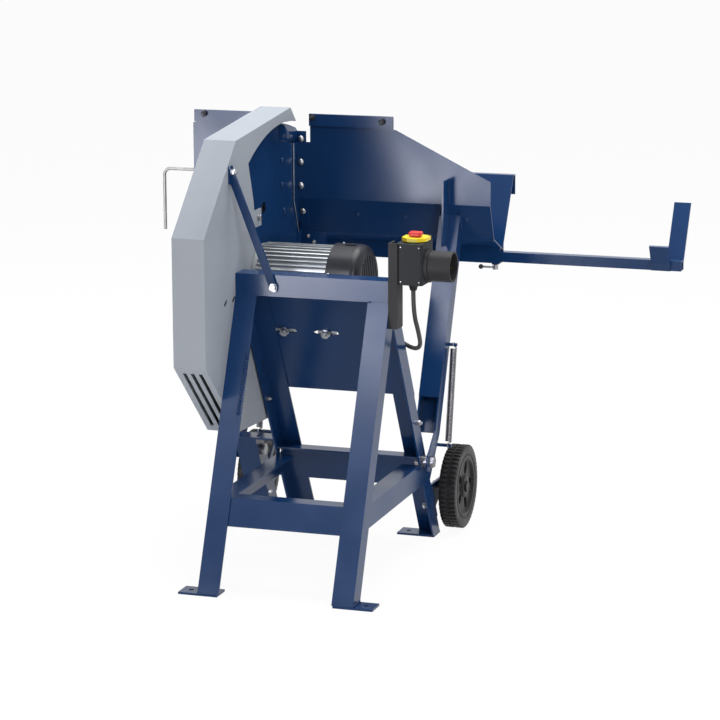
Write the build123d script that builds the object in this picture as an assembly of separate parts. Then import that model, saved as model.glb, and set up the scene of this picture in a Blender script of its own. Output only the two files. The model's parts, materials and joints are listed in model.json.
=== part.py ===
"""Firewood rocker saw with a direct-drive blade, a swinging log trough and two transport wheels.

X runs along the blade shaft, towards the log extension.  Y runs from the motor side of the
stand to the operator side.  Z is up from the floor.  The model is drawn with X = Y = 0 in the
middle of the stand and is moved at the end, so that its origin is the bottom centre of its box.
"""
import math
import os

from build123d import *

# Clearances that repeat
RUN_FIT = 0.05
SEAT_GAP = 0.3
SLIDE_GAP = 0.5
GUARD_CLEAR = 6.0

# Stand: four angle-iron legs, an A on each side
STAND_WIDTH = 363.4
LEG_SIDE = 50.0
LEG_T = 4.0
FRONT_FOOT_Y = -335.0
FRONT_TOP_Y = -72.0
REAR_FOOT_Y = 335.0
REAR_TOP_Y = -11.4
RAIL_BOTTOM = 631.0
RAIL_HEIGHT = 49.0
FOOT_T = 5.0
FOOT_LENGTH = 92.0
FOOT_WIDTH = 50.0
FOOT_HOLE_R = 5.5
FOOT_HOLE_INSET = 22.0
FOOT_OVERHANG = 45.0
FRONT_BAR_BOTTOM = 146.0
FRONT_BAR_TOP = 205.0
SIDE_BAR_BOTTOM = 151.0
SIDE_BAR_TOP = 203.0
REAR_BAR_BOTTOM = 131.0
REAR_BAR_TOP = 223.0
BAR_FLANGE = 44.0
MOTOR_PLATE_BOTTOM = 379.0

HALF = STAND_WIDTH / 2
REAR_HALF = HALF - LEG_T
RAIL_TOP = RAIL_BOTTOM + RAIL_HEIGHT

# Blade and its shaft
ARBOR_Y = 100.0
ARBOR_Z = 641.0
BLADE_OFFSET = 44.3
BLADE_X = -HALF - BLADE_OFFSET
BLADE_R = 300.0
BLADE_T = 3.6
TOOTH_COUNT = 42
TOOTH_DEPTH = 13.0
SHAFT_R = 15.0
COLLAR_R = 23.0
FLANGE_R = 50.0
INNER_FLANGE_T = 10.0
OUTER_FLANGE_T = 7.0
ARBOR_NUT_T = 12.0
ARBOR_NUT_ACROSS = 41.0

# Motor, foot-mounted on the sloping plate
MOTOR_STANDOFF = 11.7
MOTOR_LENGTH = 170.0
MOTOR_LEFT = -HALF + MOTOR_STANDOFF
MOTOR_RIGHT = MOTOR_LEFT + MOTOR_LENGTH
FIN_TIP_R = 82.0
FIN_ROOT_R = 71.0
FIN_COUNT = 44
FIN_T = 3.0
STATOR_SEAT_R = 62.0
ROTOR_R = 45.0
AIR_GAP = 0.6
CORE_LENGTH = 100.0
SHIELD_T = 10.0
BEARING_R = 31.0
BEARING_T = 14.0
BEARING_WALL = 9.0
FOOT_BOLT_A = 140.0
FOOT_BOLT_B = 100.0
FOOT_BOLT_R = 5.0
FOOT_BOLT_HEAD_R = 9.8
FOOT_BOLT_X = MOTOR_LEFT + 63.0
MOTOR_FOOT_T = 9.0
MOTOR_FOOT_LENGTH = 42.0
MOTOR_FOOT_END = 18.0
SLOT_L = 60.0
FAN_COVER_R = 88.0
FAN_COVER_LENGTH = 78.0
FAN_COVER_T = 2.0
FAN_COVER_ROUND = 22.0
SLAT_COUNT = 9
SLAT_PITCH = 13.0
SLAT_WIDTH = 6.5
FAN_R = 70.0
FAN_T = 26.0
FAN_GAP = 24.0
FAN_BLADES = 8
TERMINAL_HEIGHT = 42.0
TERMINAL_WIDTH = 84.0
TERMINAL_LENGTH = 92.0
TERMINAL_INSET = 22.0

# Guard round the blade: outline in (Y, Z) from the top end round the motor side
GUARD_DEPTH = 76.0
GUARD_T = 2.0
GUARD_LEFT = -HALF - GUARD_DEPTH
GUARD_RIM = [(341.0, 974.0), (305.0, 1009.0), (-58.0, 977.0), (-262.0, 786.0), (-262.0, 496.0),
             (-63.0, 310.0), (150.0, 299.0), (330.0, 410.0), (412.0, 560.0)]
GUARD_MOUTH = [(75.0, 731.0), (50.0, 826.0), (19.0, 915.0)]
GUARD_MOUTH_ARC = [(84.0, 946.0), (258.0, 980.0), (320.0, 976.0)]
GUARD_LOWER_R = 492.0
GUARD_TAB = (30.0, 100.0, 762.0, 802.0)
VENT_YS = (-135.0, -84.0)
VENT_Z = 622.0
CHUTE_SLOTS = 3
CHUTE_SLOT_W = 9.0
CHUTE_END = 22.0
STRUT_TOP = (-100.0, 906.0)
STRUT_FOOT_X = -HALF + 91.7
STRUT_FOOT_Z = 652.0
STRUT_W = 18.0
STRUT_T = 5.0
STRUT_EAR = 40.0

# Rocker: pivot, trough, blade covers and arms
PIVOT_Y = 197.0
PIVOT_Z = 207.0
PIVOT_R = 8.0
TROUGH_T = 3.0
TROUGH_LEFT = BLADE_X - 249.0
TROUGH_RIGHT = REAR_HALF + 94.3
SLOT_WIDTH = 26.0
SLOT_LEFT = BLADE_X - SLOT_WIDTH / 2
SLOT_RIGHT = BLADE_X + SLOT_WIDTH / 2
WALL_TOP_Z = 949.0
WALL_Y = 424.0
WALL_BEND_Z = 777.0
TROUGH_BEND = (458.0, 691.0)
TROUGH_BOTTOM = (537.0, 655.0)
TROUGH_FRONT_TOP = (631.0, 820.0)
TROUGH_LIP = 13.0
LIP_DROP = 46.0
STRIP_RISE = 29.0
STRIP_T = 8.0
STRIP_LIFT = 3.0
STRIP_END_X = TROUGH_RIGHT - 239.0
CORNER_X = TROUGH_RIGHT - 234.0
CORNER_LOW_Z = 834.0
NOTCH_Z = 912.0
SLOT_END_Z = 745.0
COVER_Y = 60.0
COVER_FOOT_Y = 400.0
COVER_TOP_R = 772.0
COVER_TOP_Y = 225.0
COVER_SHOULDER = (131.0, 950.0)
COVER_CORNER_Z = 922.0
COVER_CLEAR = 15.0
COVER_T = 2.0
COVER_LEG = 25.0
COVER_HOLE = (197.0, 786.0)
COVER_HOLE_R = 14.0
ARM_WIDTH = 50.0
ARM_DEPTH = 36.0
ARM_T = 4.0
ARM_LEAN_DEG = 22.5
ARM_RIGHT_X = REAR_HALF + 17.3
ARM_LEFT_X = BLADE_X - 104.0
ARM_EDGE = 14.0
ARM_FOOT = 75.0
PIVOT_BOSS_R = 24.0
ARM_COVER_FOOT = 155.0
RIB_FOOT = (372.0, 684.0)
RIB_TOP = (376.0, 838.0)

# Left outrigger: a channel beside the rear leg that carries the left pivot and wheel
OUTRIGGER_OFFSET = 40.3
OUTRIGGER_WIDTH = 53.0
OUTRIGGER_RIGHT = -HALF - OUTRIGGER_OFFSET
OUTRIGGER_LEFT = OUTRIGGER_RIGHT - OUTRIGGER_WIDTH
OUTRIGGER_FOOT = 60.0
OUTRIGGER_TOP = 240.0
OUTRIGGER_LID = 5.0
NUT_ACROSS = 24.0
NUT_T = 13.0
HEAD_T = 10.0
SPACER_WALL = 6.0

# Wheels and the brackets that carry their axles
WHEEL_R = 100.0
WHEEL_WIDTH = 40.0
WHEEL_Y = 383.0
WHEEL_Z = 105.0
WHEEL_GAP = 5.0
WHEEL_RIGHT_X = REAR_HALF + 10.3
WHEEL_LEFT_X = OUTRIGGER_LEFT - WHEEL_GAP - WHEEL_WIDTH
AXLE_R = 8.0
AXLE_CAP_T = 4.0
AXLE_CAP_WALL = 5.0
AXLE_TAIL = 14.0
BRACKET_T = 6.0
BRACKET_LOW = 46.0
BRACKET_HIGH = 124.0
BRACKET_EAR_R = 18.0
BRACKET_RIGHT_X = REAR_HALF - 17.7
BRACKET_LEFT_X = OUTRIGGER_LEFT + 13.0
LUG_COUNT = 40
LUG_DEPTH = 4.0
TREAD_GROOVE = 4.0
HUB_R = 24.0
RIM_R = 64.0
SPOKES = 5
WINDOW_WIDTH = 20.0
WINDOW_EDGE = 4.0

# Extension: square tube in a long open sleeve under the trough, with a cradle at its end
TUBE = 24.0
TUBE_T = 2.5
TUBE_LEFT = TROUGH_RIGHT - 120.0
TUBE_RIGHT = TROUGH_RIGHT + 439.0
TUBE_Y = 530.0
TUBE_TOP = TROUGH_BOTTOM[1] - 2.0
TUBE_BOTTOM = TUBE_TOP - TUBE
SLEEVE_T = 3.0
SLEEVE_LEFT = -HALF + GUARD_CLEAR
CRADLE_T = 5.0
CRADLE_TALL_W = 40.0
CRADLE_TALL = 150.0
CRADLE_SHORT_W = 46.0
CRADLE_SHORT = 52.0
CRADLE_SHORT_X = TUBE_RIGHT - 71.0
CLAMP_X = TROUGH_RIGHT - 16.0
CLAMP_R = 4.0
CLAMP_BOSS_R = 9.0
CLAMP_BOSS = 5.0
CLAMP_HEAD_R = 7.0
CLAMP_HEAD = 9.0
CLAMP_DROP = 12.0
CLAMP_LEVER = 32.0
CLAMP_LEVER_R = 2.5
KNOB_R = 6.0
KNOB_GRIP = 2.0

# Length stop: bent rod in two guide blocks on the inner face of the left wall
ROD_R = 4.0
ROD_Z = 832.0
ROD_DROP_Z = 682.0
ROD_OUT_X = TROUGH_LEFT - 81.0
ROD_IN_X = GUARD_LEFT - 22.3
ROD_BEND_R = 16.0
GUIDE = 14.0
GUIDE_LENGTH = 20.0
GUIDE_XS = (TROUGH_LEFT + 20.0, TROUGH_LEFT + 80.0)

# Switch: channel bracket on the right front leg, box with hinged lid, stop pad and plug inlet
CHANNEL_WIDTH = 21.3
CHANNEL_DEPTH = 40.0
CHANNEL_FOOT_Z = 575.0
SWITCH_WIDTH = 57.0
SWITCH_LEFT = HALF + CHANNEL_WIDTH
SWITCH_RIGHT = SWITCH_LEFT + SWITCH_WIDTH
SWITCH_FRONT = -80.0
SWITCH_BACK = 5.0
SWITCH_LOW = 675.0
SWITCH_TOP = 767.0
SWITCH_ROUND = 6.0
LID_HINGE_Y = -6.0
LID_HINGE_R = 4.5
LID_PIN_R = 2.0
LID_T = 8.0
LID_SPAN = 57.0
LID_GAP = 2.0
LID_CORNER = 17.0
KNUCKLE = 40.0
KNUCKLE_PLAY = 1.0
KNUCKLE_ROOM = 8.0
HINGE_EAR = 3.0
PAD_WIDTH = 28.0
PAD_DEPTH = 25.0
PAD_STEM_R = 9.0
PAD_TRAVEL = 3.0
PAD_T = 8.0
PAD_ROUND = 2.5
BUTTON = 14.0
BUTTON_TRAVEL = 3.0
BUTTON_GAP = 3.5
INLET_R = 34.0
INLET_LENGTH = 60.0
INLET_WALL = 3.5
INLET_FLOOR = 9.0
INLET_RIM = 3.0
INLET_RIM_T = 8.0
INLET_DROP = 7.0
PIN_R = 3.0
PIN_RING_R = 17.5
PIN_COUNT = 5
PIN_SHORT = 10.0
GLAND_R = 11.0
GLAND_LENGTH = 18.0
GLAND_SOCKET = 2.0

# Return springs: one on each arm, hooked between an arm peg and an eye on the stand
SPRING_R = 7.0
WIRE_R = 1.3
SPRING_PITCH = 5.8
SPRING_TOP = (350.0, 456.0)
SPRING_FOOT = (305.0, 222.0)
SPRING_STANDOFF = 11.0
SPRING_RIGHT_X = ARM_RIGHT_X + SPRING_STANDOFF
SPRING_LEFT_X = ARM_LEFT_X + ARM_WIDTH + SPRING_STANDOFF
PEG_R = 4.0
PEG_T = 1.0
EYE_LOW = 150.0
EYE_W = 16.0

# Slopes of the legs
FRONT_SLOPE = (FRONT_TOP_Y - FRONT_FOOT_Y) / RAIL_BOTTOM
REAR_SLOPE = (REAR_TOP_Y - REAR_FOOT_Y) / RAIL_BOTTOM
FRONT_LEAN = math.atan(FRONT_SLOPE)
REAR_LEAN = math.atan(-REAR_SLOPE)
FRONT_T = LEG_T / math.cos(FRONT_LEAN)
REAR_T = LEG_T / math.cos(REAR_LEAN)


def front_y(z):
    """Motor-side corner of a front leg at a height."""
    return FRONT_FOOT_Y + FRONT_SLOPE * z


def rear_y(z):
    """Operator-side corner of a rear leg at a height."""
    return REAR_FOOT_Y + REAR_SLOPE * z


def block(x0, x1, y0, y1, z0, z1):
    """Box between two corners."""
    return Pos((x0 + x1) / 2, (y0 + y1) / 2, (z0 + z1) / 2) * Box(x1 - x0, y1 - y0, z1 - z0)


def closed(points):
    """Face inside a straight-sided outline drawn on the XY plane."""
    return make_face(Polyline(*points, close=True))


def yz_plate(outline, x0, x1):
    """Outline in (Y, Z), as points or as a face on the XY plane, made solid from x0 to x1."""
    face = closed(outline) if isinstance(outline, list) else outline
    return extrude(Plane.YZ.offset(min(x0, x1)) * face, abs(x1 - x0), dir=(1, 0, 0))


def xz_plate(outline, y0, y1):
    """Outline in (X, Z) made solid from y0 to y1."""
    solid = extrude(closed(outline), y1 - y0, dir=(0, 0, 1))
    return Pos(0, y1, 0) * Rot(90, 0, 0) * solid


def cyl_x(y, z, r, x0, x1):
    """Round bar along X."""
    return Pos((x0 + x1) / 2, y, z) * Rot(0, 90, 0) * Cylinder(r, abs(x1 - x0))


def cyl_y(x, z, r, y0, y1):
    """Round bar along Y."""
    return Pos(x, (y0 + y1) / 2, z) * Rot(90, 0, 0) * Cylinder(r, abs(y1 - y0))


def cyl_z(x, y, r, z0, z1):
    """Round bar along Z."""
    return Pos(x, y, (z0 + z1) / 2) * Cylinder(r, abs(z1 - z0))


def hex_x(y, z, across, x0, x1):
    """Hexagon bar along X."""
    face = RegularPolygon(across / math.sqrt(3), 6)
    return yz_plate(Pos(y, z) * face, x0, x1)


def sheet(points, t):
    """Both faces of a bent sheet: the given bends, and the bends offset by t to the left."""
    far = []
    last = len(points) - 1
    for i, (u, v) in enumerate(points):
        before = points[max(i - 1, 0)]
        after = points[min(i + 1, last)]
        d0 = unit(u - before[0], v - before[1]) if i else unit(after[0] - u, after[1] - v)
        d1 = unit(after[0] - u, after[1] - v) if i < last else d0
        n0 = (-d0[1], d0[0])
        n1 = (-d1[1], d1[0])
        k = t / (1 + n0[0] * n1[0] + n0[1] * n1[1])
        far.append((u + (n0[0] + n1[0]) * k, v + (n0[1] + n1[1]) * k))
    return points, far


def unit(u, v):
    """Direction of length one."""
    n = math.hypot(u, v)
    return u / n, v / n


def strip(points, t, first=0, last=None):
    """Outline of a bent sheet between two of its bends, with mitred ends inside the sheet."""
    near, far = sheet(points, t)
    stop = len(points) if last is None else last + 1
    return near[first:stop] + far[first:stop][::-1]


# Motor frame: origin on the shaft line, +z away from the sloping plate, +y down along it
MOTOR_HEIGHT = (ARBOR_Y - rear_y(ARBOR_Z)) * math.cos(REAR_LEAN) - LEG_T
MOTOR_TILT = math.degrees(REAR_LEAN) - 90

# Trough section in (Y, Z), on its outer face from the wall's top round to the front lip
LIP_Y = TROUGH_FRONT_TOP[0] + TROUGH_LIP
TROUGH_LINE = [(WALL_Y, WALL_TOP_Z + STRIP_RISE), (WALL_Y, WALL_BEND_Z), TROUGH_BEND, TROUGH_BOTTOM,
               TROUGH_FRONT_TOP, (LIP_Y, TROUGH_FRONT_TOP[1]), (LIP_Y, TROUGH_FRONT_TOP[1] - LIP_DROP)]

# Motor lead, from the gland under the switch round the right rear leg to the terminal box
LEAD_R = 5.0
TERMINAL_REACH = FIN_TIP_R + TERMINAL_HEIGHT / 2
TERMINAL_Y = ARBOR_Y + TERMINAL_REACH * math.sin(REAR_LEAN)
TERMINAL_Z = ARBOR_Z - TERMINAL_REACH * math.cos(REAR_LEAN)
TERMINAL_END = MOTOR_LEFT + TERMINAL_INSET + TERMINAL_LENGTH + GLAND_LENGTH
LEAD_X = SWITCH_LEFT + 24.0
LEAD = [(LEAD_X, -38.0, SWITCH_LOW - GLAND_LENGTH), (LEAD_X, -38.0, 607.0), (LEAD_X + 6, -16.0, 556.0),
        (LEAD_X - 4, 32.0, 516.0), (LEAD_X - 34, 80.0, 498.0), (LEAD_X - 75, 116.0, 504.0),
        (LEAD_X - 117, 137.0, 523.0), (LEAD_X - 166, 147.0, 542.0),
        (TERMINAL_END + 52, TERMINAL_Y, TERMINAL_Z), (TERMINAL_END, TERMINAL_Y, TERMINAL_Z)]


parts = {}


def front_leg(side):
    """Angle iron with its corner at the motor side."""
    z0, z1 = FOOT_T, RAIL_BOTTOM
    web = [(front_y(z0), z0), (front_y(z0) + LEG_SIDE, z0), (front_y(z1) + LEG_SIDE, z1), (front_y(z1), z1)]
    face = [(front_y(z0), z0), (front_y(z0) + FRONT_T, z0), (front_y(z1) + FRONT_T, z1), (front_y(z1), z1)]
    leg = yz_plate(web, side * HALF, side * (HALF - LEG_T))
    return leg + yz_plate(face, side * HALF, side * (HALF - LEG_SIDE))


def rear_leg(side):
    """Angle iron with its corner at the operator side, lapped inside the front leg at the top."""
    z0, z1 = FOOT_T, RAIL_BOTTOM
    web = [(rear_y(z0), z0), (rear_y(z0) - LEG_SIDE, z0), (rear_y(z1) - LEG_SIDE, z1), (rear_y(z1), z1)]
    face = [(rear_y(z0), z0), (rear_y(z0) - REAR_T, z0), (rear_y(z1) - REAR_T, z1), (rear_y(z1), z1)]
    leg = yz_plate(web, side * REAR_HALF, side * (REAR_HALF - LEG_T))
    leg += yz_plate(face, side * REAR_HALF, side * (REAR_HALF - LEG_SIDE))
    reach = (side * (HALF - LEG_SIDE), side * (HALF + LEG_SIDE))
    return leg - cyl_x(PIVOT_Y, PIVOT_Z, PIVOT_R + RUN_FIT, *reach)


def foot_plate(side, y, outward):
    """Flat foot under a leg with one fixing hole beyond the leg."""
    x0 = HALF + FOOT_OVERHANG - FOOT_LENGTH if outward else REAR_HALF - FOOT_LENGTH
    hole_x = x0 + FOOT_LENGTH - FOOT_HOLE_INSET if outward else x0 + FOOT_HOLE_INSET
    xs = sorted((side * x0, side * (x0 + FOOT_LENGTH)))
    plate = block(xs[0], xs[1], y, y + FOOT_WIDTH, 0, FOOT_T)
    return plate - cyl_z(side * hole_x, y + FOOT_WIDTH / 2, FOOT_HOLE_R, 0, FOOT_T)


def crossbars():
    """Front, rear and side bars, welded inside the legs."""
    inner = REAR_HALF - LEG_T
    z0, z1 = FRONT_BAR_BOTTOM, FRONT_BAR_TOP
    face = [(front_y(z) + FRONT_T * k, z) for z, k in ((z0, 1), (z0, 2), (z1, 2), (z1, 1))]
    top_end = front_y(z1) + BAR_FLANGE
    parts["front_crossbar"] = yz_plate(face, -inner, inner) + block(
        -inner, inner, front_y(z1) + FRONT_T, top_end, z1 - LEG_T, z1)
    z0, z1 = REAR_BAR_BOTTOM, REAR_BAR_TOP
    face = [(rear_y(z) - REAR_T * k, z) for z, k in ((z0, 1), (z0, 2), (z1, 2), (z1, 1))]
    parts["rear_crossbar"] = yz_plate(face, -inner, inner) + block(
        -inner, inner, rear_y(z1) - BAR_FLANGE, rear_y(z1) - REAR_T, z1 - LEG_T, z1)
    z0, z1 = SIDE_BAR_BOTTOM, SIDE_BAR_TOP
    web = [(front_y(z0) + FRONT_T, z0), (rear_y(z0) - LEG_SIDE, z0),
           (rear_y(z1) - LEG_SIDE, z1), (front_y(z1) + FRONT_T, z1)]
    bars = []
    for side in (-1, 1):
        bar = yz_plate(web, side * inner, side * REAR_HALF)
        xs = sorted((side * (REAR_HALF - BAR_FLANGE), side * REAR_HALF))
        bars.append(bar + block(xs[0], xs[1], top_end, rear_y(z1) - LEG_SIDE, z1 - LEG_T, z1))
    parts["side_crossbars"] = Compound(children=bars)


def stand():
    """Legs, feet, bars, top rail and the sloping motor plate."""
    for side, name in ((-1, "left"), (1, "right")):
        parts["front_leg_" + name] = front_leg(side)
        parts["rear_leg_" + name] = rear_leg(side)
    feet = [foot_plate(side, FRONT_FOOT_Y, True) for side in (-1, 1)]
    feet += [foot_plate(side, REAR_FOOT_Y - FOOT_WIDTH, False) for side in (-1, 1)]
    parts["foot_plates"] = Compound(children=feet)
    crossbars()
    rail = block(-HALF, HALF, FRONT_TOP_Y, FRONT_TOP_Y + LEG_T, RAIL_BOTTOM, RAIL_TOP)
    rail += block(-HALF, HALF, FRONT_TOP_Y, FRONT_TOP_Y + LEG_SIDE, RAIL_TOP - LEG_T, RAIL_TOP)
    parts["top_rail"] = rail
    z0, z1 = MOTOR_PLATE_BOTTOM, RAIL_TOP - LEG_T
    outline = [(rear_y(z0), z0), (rear_y(z0) + REAR_T, z0), (rear_y(z1) + REAR_T, z1), (rear_y(z1), z1)]
    plate = yz_plate(outline, -REAR_HALF, REAR_HALF)
    for x, row in motor_bolt_places():
        slot = extrude(SlotOverall(SLOT_L, 2 * FOOT_BOLT_R + 2), 20, both=True)
        plate -= motor_frame(x, row, -MOTOR_HEIGHT) * slot
    parts["motor_plate"] = plate


def motor_frame(x=0.0, y=0.0, z=0.0):
    """Place in the motor's own frame."""
    return Pos(0, ARBOR_Y, ARBOR_Z) * Rot(MOTOR_TILT, 0, 0) * Pos(x, y, z)


def motor_bolt_places():
    """Bolt places under the motor's feet, in its own frame."""
    return [(FOOT_BOLT_X + i * FOOT_BOLT_B, side * FOOT_BOLT_A / 2) for i in (0, 1) for side in (-1, 1)]


def motor_feet():
    """Two cast saddles under the housing, one for each pair of bolts."""
    half = FOOT_BOLT_A / 2 + MOTOR_FOOT_END
    z0 = -MOTOR_HEIGHT
    z1 = z0 + MOTOR_FOOT_T
    root = -FIN_ROOT_R / 2
    right = [(half - 46, z1), (half - 42, z0), (half, z0), (half, z1), (half - 32, z1), (half - 40, root)]
    saddle = right + [(-y, z) for y, z in right[::-1]]
    feet = Part()
    for i in (0, 1):
        x = FOOT_BOLT_X + i * FOOT_BOLT_B
        feet += yz_plate(saddle, x - MOTOR_FOOT_LENGTH / 2, min(x + MOTOR_FOOT_LENGTH / 2, MOTOR_RIGHT))
    far_x = FOOT_BOLT_X + FOOT_BOLT_B
    feet += block(far_x - MOTOR_FOOT_LENGTH / 2, far_x + MOTOR_FOOT_LENGTH / 2, -half, half, z0, z1)
    for x, row in motor_bolt_places():
        feet -= cyl_z(x, row, FOOT_BOLT_R + RUN_FIT, z0, z1 + 4)
    return feet


def motor():
    """Finned housing, shields, stator, bearings, fan cover, terminal box and foot bolts."""
    fin = Pos((FIN_ROOT_R + FIN_TIP_R) / 2 - 1, 0) * Rectangle(FIN_TIP_R - FIN_ROOT_R + 2, FIN_T)
    profile = Circle(FIN_ROOT_R) + [Rot(0, 0, (i + 0.5) * 360 / FIN_COUNT) * fin for i in range(FIN_COUNT)]
    housing = yz_plate(profile, MOTOR_LEFT, MOTOR_RIGHT) + motor_feet()
    box_left = MOTOR_LEFT + TERMINAL_INSET
    box_right = box_left + TERMINAL_LENGTH
    half = TERMINAL_WIDTH / 2
    pad = block(box_left + 8, box_right - 8, -half + 8, half - 8, FIN_ROOT_R / 2, FIN_TIP_R)
    housing += Rot(-90, 0, 0) * pad
    housing -= cyl_x(0, 0, STATOR_SEAT_R, MOTOR_LEFT, MOTOR_RIGHT)
    parts["motor_housing"] = motor_frame() * housing
    core_mid = (MOTOR_LEFT + MOTOR_RIGHT) / 2
    core = (core_mid - CORE_LENGTH / 2, core_mid + CORE_LENGTH / 2)
    stator = cyl_x(0, 0, STATOR_SEAT_R, *core) - cyl_x(0, 0, ROTOR_R + AIR_GAP, *core)
    parts["motor_stator"] = motor_frame() * stator
    shields = []
    bearings = []
    for end, out in ((MOTOR_LEFT, -1), (MOTOR_RIGHT, 1)):
        rim_r = FAN_COVER_R - FAN_COVER_T if out > 0 else FIN_TIP_R - 3
        outer = end + out * SHIELD_T
        inner = end - out * (BEARING_T - SHIELD_T + 4)
        shield = cyl_x(0, 0, rim_r, end, outer) + cyl_x(0, 0, BEARING_R + BEARING_WALL, inner, outer)
        shield -= cyl_x(0, 0, SHAFT_R + 1.5, inner, outer)
        seat = (outer - out * BEARING_T, outer)
        shields.append(shield - cyl_x(0, 0, BEARING_R, *seat))
        bearings.append(cyl_x(0, 0, BEARING_R, *seat) - cyl_x(0, 0, SHAFT_R + RUN_FIT, *seat))
    parts["motor_shields"] = motor_frame() * Compound(children=shields)
    parts["motor_bearings"] = motor_frame() * Compound(children=bearings)
    parts["fan_cover"] = motor_frame() * fan_cover()
    box = block(box_left, box_right, -half, half, FIN_TIP_R, FIN_TIP_R + TERMINAL_HEIGHT)
    box = fillet(box.edges().filter_by(Axis.Z), 8)
    box = chamfer(box.faces().sort_by(Axis.Z)[-1].edges(), 4)
    parts["terminal_box"] = motor_frame() * Rot(-90, 0, 0) * box
    bolts = []
    for x, row in motor_bolt_places():
        z = -MOTOR_HEIGHT
        hexagon = RegularPolygon(FOOT_BOLT_HEAD_R, 6)
        head = Pos(x, row, z + MOTOR_FOOT_T + 3.5) * extrude(hexagon, 3.5, both=True)
        shank = cyl_z(x, row, FOOT_BOLT_R, z - LEG_T - 14, z + MOTOR_FOOT_T)
        washer = cyl_z(x, row, FOOT_BOLT_HEAD_R + 1.2, z - LEG_T - 2.5, z - LEG_T)
        nut = Pos(x, row, z - LEG_T - 6.5) * extrude(hexagon, 4, both=True)
        bolts.append(motor_frame() * (head + shank + washer + nut))
    parts["motor_bolts"] = Compound(children=bolts)


def fan_cover():
    """Sheet-steel cowl with a rounded end, a slatted end grille and two side slots."""
    r, t, right = FAN_COVER_R, FAN_COVER_T, MOTOR_RIGHT + FAN_COVER_LENGTH
    round_r = FAN_COVER_ROUND
    arc = RadiusArc((r, right - round_r), (r - round_r, right), -round_r)
    skin = Line((r, MOTOR_RIGHT), (r, right - round_r)) + arc + Line((r - round_r, right), (0, right))
    face = make_face(skin + Polyline((0, right), (0, MOTOR_RIGHT), (r, MOTOR_RIGHT)))
    inner_arc = RadiusArc((r - t, right - round_r), (r - round_r, right - t), -(round_r - t))
    hollow = Line((r - t, MOTOR_RIGHT), (r - t, right - round_r)) + inner_arc
    hollow += Line((r - round_r, right - t), (0, right - t))
    inner = make_face(hollow + Polyline((0, right - t), (0, MOTOR_RIGHT), (r - t, MOTOR_RIGHT)))
    shell = revolve(Plane.XZ * (face - inner), Axis.Z)
    shell = Rot(0, 90, 0) * shell
    for i in range(SLAT_COUNT):
        offset = (i - (SLAT_COUNT - 1) / 2) * SLAT_PITCH
        length = 2 * math.sqrt((r - round_r) ** 2 - offset ** 2) - 6
        slot = Pos(right, offset, 0) * Box(4 * t, SLAT_WIDTH, length)
        shell -= Rot(45, 0, 0) * slot
    for turn in (35, 70):
        shell -= Rot(turn, 0, 0) * (Pos((MOTOR_RIGHT + right) / 2, 0, r) * Box(26, 7, 4 * t))
    return shell


def blade_group():
    """Shaft with rotor and fan, the blade, its two flanges and the nut."""
    left = BLADE_X - BLADE_T / 2
    right = BLADE_X + BLADE_T / 2
    nut_left = left - OUTER_FLANGE_T - ARBOR_NUT_T
    fan_right = MOTOR_RIGHT + FAN_COVER_LENGTH - FAN_GAP
    collar = (right + INNER_FLANGE_T, MOTOR_LEFT - SHIELD_T - 3)
    shaft = cyl_x(ARBOR_Y, ARBOR_Z, SHAFT_R, nut_left - 4, fan_right)
    parts["motor_shaft"] = shaft + cyl_x(ARBOR_Y, ARBOR_Z, COLLAR_R, *collar)
    tooth = 2 * math.pi / TOOTH_COUNT
    root_r = BLADE_R - TOOTH_DEPTH
    outline = []
    for i in range(TOOTH_COUNT):
        for turn, r in ((0, BLADE_R), (0.34, BLADE_R - 2), (0.80, root_r), (0.94, root_r)):
            a = (i + turn) * tooth
            outline.append((r * math.cos(a), r * math.sin(a)))
    disc = closed(outline) - Circle(SHAFT_R)
    parts["saw_blade"] = Pos(0, ARBOR_Y, ARBOR_Z) * yz_plate(disc, left, right)
    flanges = []
    for x0, x1 in ((right, right + INNER_FLANGE_T), (left - OUTER_FLANGE_T, left)):
        ring = cyl_x(ARBOR_Y, ARBOR_Z, FLANGE_R, x0, x1)
        flanges.append(ring - cyl_x(ARBOR_Y, ARBOR_Z, SHAFT_R, x0, x1))
    nut = hex_x(ARBOR_Y, ARBOR_Z, ARBOR_NUT_ACROSS, nut_left, nut_left + ARBOR_NUT_T)
    nut -= cyl_x(ARBOR_Y, ARBOR_Z, SHAFT_R, nut_left, nut_left + ARBOR_NUT_T)
    parts["blade_flanges"] = Compound(children=flanges)
    parts["arbor_nut"] = nut
    core_mid = (MOTOR_LEFT + MOTOR_RIGHT) / 2
    core = (core_mid - CORE_LENGTH / 2, core_mid + CORE_LENGTH / 2)
    rotor = cyl_x(ARBOR_Y, ARBOR_Z, ROTOR_R, *core)
    parts["motor_rotor"] = rotor - cyl_x(ARBOR_Y, ARBOR_Z, SHAFT_R, *core)
    fan_left = fan_right - FAN_T
    fan = cyl_x(0, 0, SHAFT_R + 9, fan_left, fan_right)
    fan += cyl_x(0, 0, FAN_R, fan_left, fan_left + 3)
    for i in range(FAN_BLADES):
        wing = block(fan_left + 3, fan_right, SHAFT_R + 7, FAN_R, -1.5, 1.5)
        fan += Rot(i * 360 / FAN_BLADES, 0, 0) * wing
    fan -= cyl_x(0, 0, SHAFT_R, fan_left, fan_right)
    parts["motor_fan"] = Pos(0, ARBOR_Y, ARBOR_Z) * fan


def on_arc(y, r):
    """Point on a circle about the rocker's pivot, above it."""
    return y, PIVOT_Z + math.sqrt(r ** 2 - (y - PIVOT_Y) ** 2)


def guard_rim():
    """Bends of the guard's rim, down to its end on the operator side."""
    return GUARD_RIM + [on_arc(GUARD_RIM[-1][0], GUARD_LOWER_R)]


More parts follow.
